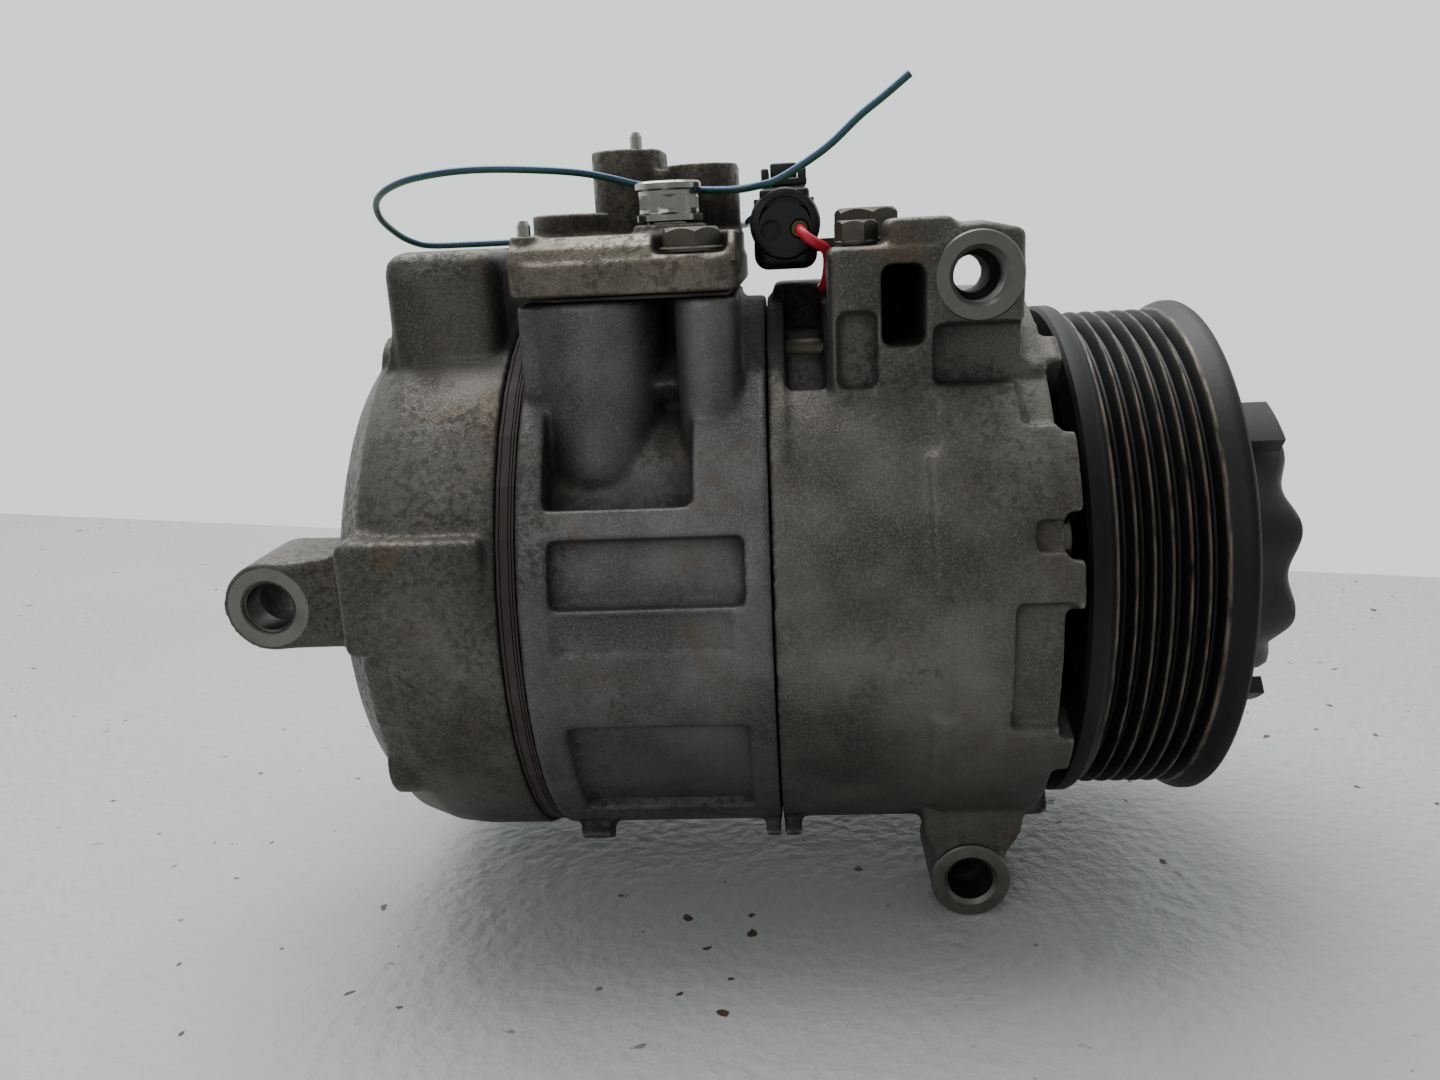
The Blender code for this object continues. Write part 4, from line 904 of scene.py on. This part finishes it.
def lug_faces():
    """The lugs' machined rings with their chamfers."""
    for name, lug, inner, outer in (
        ("upper_lug_face", UPPER_LUG, LUG_HOLE_R, LUG_RING_R),
        ("lower_lug_face", LOWER_LUG, LUG_HOLE_R, LUG_RING_R),
        ("rear_lug_face", REAR_LUG, REAR_LUG_HOLE_R - 0.0002, REAR_LUG_R - 0.0008),
    ):
        near = LUG_FACE_Y
        ring = turned(
            [
                (near + 0.0075, inner + 0.0001), (near + 0.0075, inner), (near + 0.0009, inner),
                (near, inner + 0.0009), (near, outer - 0.0003), (near + 0.0003, outer),
                (near + 0.0012, outer), (near + 0.0012, inner + 0.0006),
            ],
            72,
            "Y",
            lug,
        )
        show(name, ring, FACE)


def manifold():
    """The port manifold: a deck on a thicker band, with the two-lobed tower and three bosses."""
    low, high = MANIFOLD_LOW, MANIFOLD_HIGH
    rear_x, front_x = TOWER_LOBES[0][0], TOWER_LOBES[1][0]
    bolt_x, bolt_y = MANIFOLD_BOLTS[0]
    outline = [
        (low.x, 0.0160), (low.x, -0.0440), (low.x + 0.0012, -0.0468), (low.x + 0.0040, -0.0480),
        (-0.1400, -0.0480), (-0.1350, -0.0470), (-0.1305, -0.0470), (-0.1265, -0.0480),
        (high.x - 0.0040, -0.0480), (high.x - 0.0012, -0.0468), (high.x, -0.0440), (high.x, 0.0160),
    ]
    band = prism("Z", outline, low.z, SHOULDER_Z, 0.0008)
    deck = prism(
        "X",
        [
            (-0.0476, SHOULDER_Z - 0.0008), (0.0158, SHOULDER_Z - 0.0020), (0.0158, DECK_Z),
            (-0.0418, DECK_Z), (-0.0455, DECK_Z - 0.0022),
        ],
        low.x + 0.0006,
        high.x - 0.0006,
    )
    joins = [deck]
    for x, radius, top in TOWER_LOBES:
        joins += [rod("Z", (x, y), DECK_Z - 0.0060, top, radius, 64) for y in TOWER_Y]
        joins.append(box((x - radius, TOWER_Y[0], DECK_Z - 0.0060), (x + radius, TOWER_Y[1], top)))
    joins += [
        box((rear_x, TOWER_Y[0] - 0.0055, DECK_Z - 0.0060), (front_x, TOWER_Y[1], 0.0928)),
        rod("Z", DECK_PORT, DECK_Z - 0.0020, 0.0837, 0.0081),
        rod("Z", RELIEF, DECK_Z - 0.0030, 0.0808, 0.0078),
        rod("Z", PINS[1], DECK_Z - 0.0030, DECK_Z + 0.0007, 0.0029),
        rod("Z", MANIFOLD_BOLTS[0], low.z, BOLT_POCKET_Z + 0.0002, 0.0079),
    ]
    cuts = [
        rod("Z", (rear_x, TOWER_Y[1] - 0.0020), 0.0720, 0.1100, 0.0046),
        rod("Z", (rear_x, TOWER_Y[0]), 0.0600, 0.0780, PASSAGE_R),
        rod("Z", (front_x, TOWER_Y[0]), 0.0800, 0.1100, 0.0033),
        rod("Z", DECK_PORT, 0.0600, 0.0900, PORT_R),
        rod("Z", RELIEF, 0.0705, 0.0900, 0.0053),
        rod("Z", PINS[0], 0.0880, 0.1100, PIN_HOLE_R),
        rod("Z", PINS[1], 0.0710, 0.0900, PIN_HOLE_R),
        rod("Z", (bolt_x, bolt_y), BOLT_POCKET_Z, 0.0900, 0.0074),
        box((bolt_x - 0.0073, -0.0600, BOLT_POCKET_Z), (bolt_x + 0.0073, bolt_y, 0.0900)),
        *[rod("Z", centre, 0.0600, 0.0900, 0.0033) for centre in MANIFOLD_BOLTS],
    ]
    casting = shape(band, joins, cuts, FINE_VOXEL, 4)
    show("manifold_casting", casting, MANIFOLD, node="port_manifold")


rear_cover()
block()
front_case()
lug_faces()
manifold()


# ------------------------ fasteners and fittings

def hexagon(centre, low, high, corner_r, turn=0.0, axis="Z"):
    """A hexagon head whose top corners are turned off by a cone."""
    head = rod("Z", (0.0, 0.0), low, high, corner_r, 6)
    crown = turned(
        [
            (high + 0.0001, 0.0), (high + 0.0001, corner_r * 0.80),
            (high - corner_r * 0.17, corner_r * 1.02),
            (high - corner_r * 0.17 - 0.0010, corner_r * 1.10), (low - 0.0001, corner_r * 1.10),
            (low - 0.0001, 0.0),
        ],
        64,
        "Z",
        ring=False,
    )
    WORKSHOP.objects.link(head)
    combine(head, "INTERSECT", crown)
    mesh = evaluated(head)
    bpy.data.objects.remove(head)
    bpy.data.objects.remove(crown)
    mesh.transform(Matrix.Rotation(math.radians(turn), 4, "Z"))
    mesh.transform(placed(axis, centre))
    shade(mesh, 22)
    return bpy.data.objects.new("shape", mesh)


def merged(*objects):
    """Several solids as one mesh."""
    mesh_data = bmesh.new()
    for obj in objects:
        obj.data.transform(obj.matrix_world)
        mesh_data.from_mesh(obj.data)
        bpy.data.objects.remove(obj)
    mesh = bpy.data.meshes.new("shape")
    mesh_data.to_mesh(mesh)
    mesh_data.free()
    shade(mesh, 28)
    return bpy.data.objects.new("shape", mesh)


def washer(centre, low, high, radius, axis="Z"):
    """A collar with a chamfered edge."""
    edge = (high - low) * 0.35
    return turned(
        [(high, 0.0), (high, radius - edge), (high - edge, radius), (low, radius), (low, 0.0)],
        48, axis, centre, ring=False,
    )


def bolt(name, centre, head, collar, shank, axis="Z"):
    """A bolt for its CAD node. The head has a low and a high end, a corner radius and a turn; the
    collar and the shank have a low and a high end and a radius.
    """
    made = merged(
        hexagon(centre, *head, axis),
        washer(centre, *collar, axis),
        rod(axis, centre, *shank),
    )
    show(name + "_head", made, BOLT, node=name)


def bolts():
    """Two bolts on the manifold, two on the top boss and the seven through bolts."""
    front, rear = MANIFOLD_BOLTS
    for name, centre, seat, corner_r, turn in (
        ("manifold_bolt_front", front, BOLT_POCKET_Z, 0.0062, 12),
        ("manifold_bolt_rear", rear, DECK_Z, 0.0054, 0),
    ):
        bolt(
            name,
            centre,
            (seat + 0.0012, seat + 0.0050, corner_r, turn),
            (seat + GAP, seat + 0.0013, corner_r + GAP),
            (seat - 0.0060, seat + 0.0006, 0.0027),
        )
    front, rear = BOSS_BOLTS
    bolt(
        "boss_bolt_front",
        front,
        (BOSS_TOP_Z + 0.0009, 0.0796, 0.0044, 18),
        (BOSS_TOP_Z + GAP, 0.0757, 0.0043),
        (0.0630, 0.0755, 0.0027),
    )
    seat = SEAT_TOP_Z + BRACKET_THICK + 2 * GAP
    bolt(
        "boss_bolt_rear",
        rear,
        (seat + 0.0009, 0.0822, 0.0070, 8),
        (seat, seat + 0.0011, 0.0069),
        (0.0630, 0.0755, 0.0027),
    )
    for number, angle in enumerate(bolt_angles(), 1):
        bolt(
            f"through_bolt_{number}",
            around(angle, BOLT_CIRCLE_R),
            (-0.0566, -0.0523, 0.0049, angle),
            (-0.0570, -0.0562, 0.0048),
            (-0.1868, -0.0565, 0.0029, 24),
            "X",
        )


def relief_fitting():
    """Bright fitting: a rim, a waisted hexagon and a collar, with the bore open on top."""
    rim = turned(
        [
            (0.0893, 0.0058), (0.0893, 0.0066), (0.0889, 0.0070), (0.0878, 0.0070), (0.0874, 0.0064),
            (0.0845, 0.0062), (0.0830, 0.0064), (0.0826, 0.0070), (0.0814, 0.0070), (0.0811, 0.0066),
            (0.0811, 0.0049), (0.0720, 0.0049), (0.0720, 0.0024), (0.0880, 0.0024), (0.0880, 0.0058),
        ],
        64,
        "Z",
        RELIEF,
    )
    bore = rod("Z", RELIEF, 0.0600, 0.1000, 0.0030)
    body = shape(hexagon(RELIEF, 0.0838, 0.0870, 0.0071, 6), cut=[bore])
    show("relief_fitting", merged(rim, body), BRIGHT, node="relief_valve_body")


def connector():
    """The plug with its skirt, hood, latch and seals, and the socket behind it."""
    x, z = PLUG
    near, far = PLUG_Y
    pin_z = z - 0.0012
    shell = turned(
        [
            (far, PLUG_R - 0.0004), (near + 0.0016, PLUG_R), (near + 0.0004, PLUG_R - 0.0004),
            (near, PLUG_R - 0.0012), (near, PLUG_R - 0.0019), (near + 0.0018, PLUG_R - 0.0022),
            (near + 0.0018, 0.0), (far - 0.0060, 0.0), (far - 0.0060, 0.0060), (far, 0.0060),
        ][::-1],
        72,
        "Y",
        PLUG,
        ring=False,
    )
    skirt = box(
        (x - 0.0067, near + 0.0020, z - 0.0094), (x + 0.0067, far - 0.0062, z - 0.0010), 0.0030, 6
    )
    barrel = rod("Y", (x, pin_z), near + 0.0002, near + 0.0060, 0.0056, 48)
    hood = box((x - 0.0052, near + 0.0008, z + 0.0030), (x + 0.0052, near + 0.0080, z + 0.0071), 0.0008)
    holes = [
        rod("Y", (x + dx, pin_z), near - PAST, near + 0.0058, 0.0021) for dx in (-PIN_DX, PIN_DX)
    ]
    body = shape(barrel, [skirt, hood], holes)
    shade(body.data, 30)
    show("plug_housing", merged(shell, body), PLASTIC, node="connector_plug")
    latch = merged(
        box((x - 0.0048, near + 0.0030, z + 0.0077), (x + 0.0048, far - 0.0010, z + 0.0092), 0.0004),
        box((x - 0.0047, near + 0.0030, z + 0.0085), (x - 0.0031, far - 0.0020, z + 0.0112), 0.0004),
        box((x + 0.0031, near + 0.0030, z + 0.0085), (x + 0.0047, far - 0.0020, z + 0.0112), 0.0004),
        box((x - 0.0028, near + 0.0060, z + 0.0085), (x + 0.0028, near + 0.0100, z + 0.0124), 0.0005),
        box((x - 0.0028, near + 0.0110, z + 0.0085), (x + 0.0028, far - 0.0015, z + 0.0102), 0.0004),
    )
    show("plug_latch", latch, PLASTIC, node="connector_latch")
    seal = turned(
        [
            (near + 0.0055, 0.0019), (near + 0.0012, 0.0019), (near + 0.0006, 0.0016),
            (near + 0.0006, LEAD_D / 2 + 0.0001), (near + 0.0055, LEAD_D / 2 + 0.0001),
        ][::-1],
        40,
        "Y",
        (x + PIN_DX, pin_z),
    )
    show("plug_seal", seal, GREEN, node="wire_seal")
    fill = turned(
        [
            (near + 0.0054, 0.0), (near + 0.0054, 0.0020), (near + 0.0034, 0.0020),
            (near + 0.0030, 0.0015), (near + 0.0030, 0.0),
        ][::-1],
        32, "Y", (x - PIN_DX, pin_z), ring=False,
    )
    show("plug_blank_seal", fill, RUBBER)
    socket = turned(
        [
            (far + 0.0100, 0.0), (far + 0.0100, 0.0060), (far + 0.0094, 0.0066), (far + 0.0016, 0.0066),
            (far + 0.0010, 0.0060), (far + 0.0010, 0.0057), (far - 0.0055, 0.0057), (far - 0.0055, 0.0),
        ],
        56, "Y", PLUG, ring=False,
    )
    show("plug_socket", socket, PLASTIC, node="connector_socket")


bolts()
relief_fitting()
connector()


# ------------------------ rotor

def pulley():
    """The ribbed pulley: two flanges, its grooves and the web that holds the bearing."""
    front, rear = PULLEY_FRONT, PULLEY_REAR
    points = [
        (front, 0.0562), (front, 0.0574), (front - 0.0004, 0.0582), (front - 0.0010, FLANGE_R),
        (front - 0.0022, FLANGE_R), (front - 0.0032, 0.0582), (front - 0.0046, 0.0573),
        (front - 0.0058, RIB_TIP_R),
    ]
    groove_side = ((0.00162, RIB_TIP_R), (0.00142, RIB_TIP_R - 0.0003), (0.00040, RIB_ROOT_R + 0.0002))
    for i in reversed(range(RIBS)):
        groove = FIRST_RIB + RIB_PITCH * (i + 0.5)
        points += [(groove + off, radius) for off, radius in groove_side]
        points.append((groove, RIB_ROOT_R))
        points += [(groove - off, radius) for off, radius in reversed(groove_side)]
    points += [
        (-0.0429, RIB_TIP_R), (-0.0436, 0.0574), (-0.0444, 0.0583), (-0.0451, FLANGE_R),
        (rear + 0.0008, FLANGE_R), (rear, 0.0578), (rear, 0.0490), (-0.0310, 0.0470),
        (-0.0310, 0.0310), (rear + 0.0005, 0.0310), (rear + 0.0005, 0.0263), (-0.0226, 0.0263),
        (-0.0226, 0.0310), (-0.0260, 0.0310), (-0.0260, 0.0470), (front - 0.0010, 0.0485),
        (front, 0.0495),
    ]
    show("pulley_ribbed", turned(points, 144), PAINT, "rotor", "pulley")


def scallop(vertex):
    """Draws a vertex of the hub's front edge in and back, in waves round the shaft."""
    foot_x, front_x = -0.0050, 0.0054
    x, y, z = vertex.co
    far = math.hypot(y, z)
    if x < foot_x or far < 0.0210:
        return
    angle = math.degrees(math.atan2(-y, z))
    dip = 0.5 - 0.5 * math.cos(math.radians(SCALLOPS * (angle - 30)))
    share = min(1.0, (far - 0.0200) / 0.0100)
    pull = 1 - 0.045 * dip * share
    vertex.co = (x - 0.0030 * dip * share * (x - foot_x) / (front_x - foot_x), y * pull, z * pull)


def hub():
    """The torque-limiting hub: a flange, three tabs and a cap whose front edge is scalloped."""
    cap = turned(
        [
            (0.0054, 0.0140), (0.0054, 0.0200), (0.0054, 0.0250), (0.0053, 0.0285), (0.0046, 0.0302),
            (0.0030, 0.0311), (0.0000, 0.0316), (-0.0040, 0.0320), (-0.0078, 0.0324), (-0.0082, 0.0340),
            (-0.0086, 0.0385), (-0.0094, 0.0402), (-0.0108, HUB_R), (-0.0142, HUB_R),
            (-0.0147, HUB_R - 0.0006), (-0.0147, 0.0125), (-0.0300, 0.0125), (-0.0300, 0.0078),
            (-0.0095, 0.0078), (-0.0095, 0.0140),
        ],
        180,
    )
    for vertex in cap.data.vertices:
        scallop(vertex)
    tabs = [
        sector(-0.0120, 0.0010, 0.0345, 0.0385, middle - 10, middle + 10, 10)
        for middle in (360 / TABS * i + 30 for i in range(TABS))
    ]
    slots = [
        sector(-0.0085, 0.0080, 0.0240, 0.0256, middle - 12, middle + 12, 8)
        for middle in (360 / HUB_SLOTS * i for i in range(HUB_SLOTS))
    ]
    made = shape(cap, tabs, slots)
    shade(made.data, 32)
    show("hub_cap", made, HUB, "rotor", "drive_hub")


def hub_nut():
    """The nut on the shaft's end."""
    nut = shape(
        hexagon((0.0, 0.0), -0.0090, -0.0012, 0.0096, 0, "X"),
        cut=[rod("X", (0.0, 0.0), -0.0200, 0.0100, 0.0053)],
    )
    shade(nut.data, 22)
    show("hub_nut_hex", nut, BOLT, "rotor", "hub_nut")


def bearing():
    """The pulley bearing's caged balls and the ring that turns round them."""
    low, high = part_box("bearing_cage")
    middle = (low.x + high.x) / 2
    front, rear = middle + 0.0012, middle - 0.0012
    parts = [turned([(front, 0.0226), (rear, 0.0226), (rear, 0.0214), (front, 0.0214)])]
    for i in range(BALLS):
        mesh_data = bmesh.new()
        bmesh.ops.create_uvsphere(mesh_data, u_segments=24, v_segments=16, radius=BALL_R)
        y, z = around(360 / BALLS * i, BALL_CIRCLE_R)
        bmesh.ops.translate(mesh_data, verts=mesh_data.verts, vec=(middle, y, z))
        parts.append(from_bmesh(mesh_data))
    show("ball_set", merged(*parts), STEEL, "ball_cage", "bearing_cage")
    low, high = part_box("bearing_outer_ring")
    race = [
        (high.x, 0.0260), (low.x, 0.0260), (low.x, 0.0234), (middle - 0.0030, 0.0234),
        (middle - 0.0018, 0.0244), (middle + 0.0018, 0.0244), (middle + 0.0030, 0.0234),
        (high.x, 0.0234),
    ]
    show("outer_race", turned(race, 120), STEEL, "rotor", "bearing_outer_ring")


def shoes():
    """A pair of domed shoes between the swash plate and each piston's jaws."""
    for number, angle in enumerate(piston_angles(), 1):
        for side, face, sign in (("rear", SWASH_REAR, -1), ("front", SWASH_FRONT, 1)):
            profile = [
                (face + sign * (GAP + SHOE_R * math.sin(t)), SHOE_R * math.cos(t))
                for t in [math.pi / 2 * i / 8 for i in range(9)]
            ]
            profile.append((face + sign * GAP, 0.0))
            dome = turned(profile, 32, "X", around(angle, PISTON_CIRCLE_R), ring=False)
            show(f"shoe_{side}_{number}", dome, STEEL)


pulley()
hub()
hub_nut()
bearing()
shoes()


# ------------------------ stage

def table():
    """The worktop just below the object, with its far edge at an angle to the shaft."""
    level = CAD_BOX[0].z - 0.0002
    corners = [(-1.40, -1.30), (1.60, -1.30), (1.60, -0.213), (-1.40, 0.637)]
    top = prism("Z", corners, level - 0.03, level)
    top.name = "worktop"
    top.data.materials.append(tabletop())
    bpy.context.scene.collection.objects.link(top)


def light(name, location, target, size, power):
    """A square area light aimed at a point."""
    data = bpy.data.lights.new(name, "AREA")
    data.shape = "SQUARE"
    data.size = size
    data.energy = power
    obj = bpy.data.objects.new(name, data)
    obj.location = location
    direction = Vector(target) - Vector(location)
    obj.rotation_euler = direction.to_track_quat("-Z", "Y").to_euler()
    bpy.context.scene.collection.objects.link(obj)


def room():
    """A white wall lit from above behind the worktop, and a dimmer room in front of it."""
    world = bpy.data.worlds.new("room")
    world.use_nodes = True
    tree = world.node_tree
    direction = tree.nodes.new("ShaderNodeTexCoord").outputs["Generated"]
    split = tree.nodes.new("ShaderNodeSeparateXYZ")
    tree.links.new(direction, split.inputs[0])
    level = tree.nodes.new("ShaderNodeMapRange")
    tree.links.new(split.outputs["Y"], level.inputs["Value"])
    level.inputs["From Min"].default_value = -0.35
    level.inputs["From Max"].default_value = 0.45
    level.inputs["To Min"].default_value = 0.42
    level.inputs["To Max"].default_value = 1.50
    background = tree.nodes["Background"]
    background.inputs["Color"].default_value = rgb(232, 236, 237)
    tree.links.new(level.outputs["Result"], background.inputs["Strength"])
    bpy.context.scene.world = world


MIDDLE = (-0.10, 0.0, 0.0)
table()
light("overhead", (-0.25, 0.35, 0.95), MIDDLE, 0.9, 15.0)
light("front_fill", (-0.45, -1.00, 0.60), MIDDLE, 0.7, 2.2)
room()
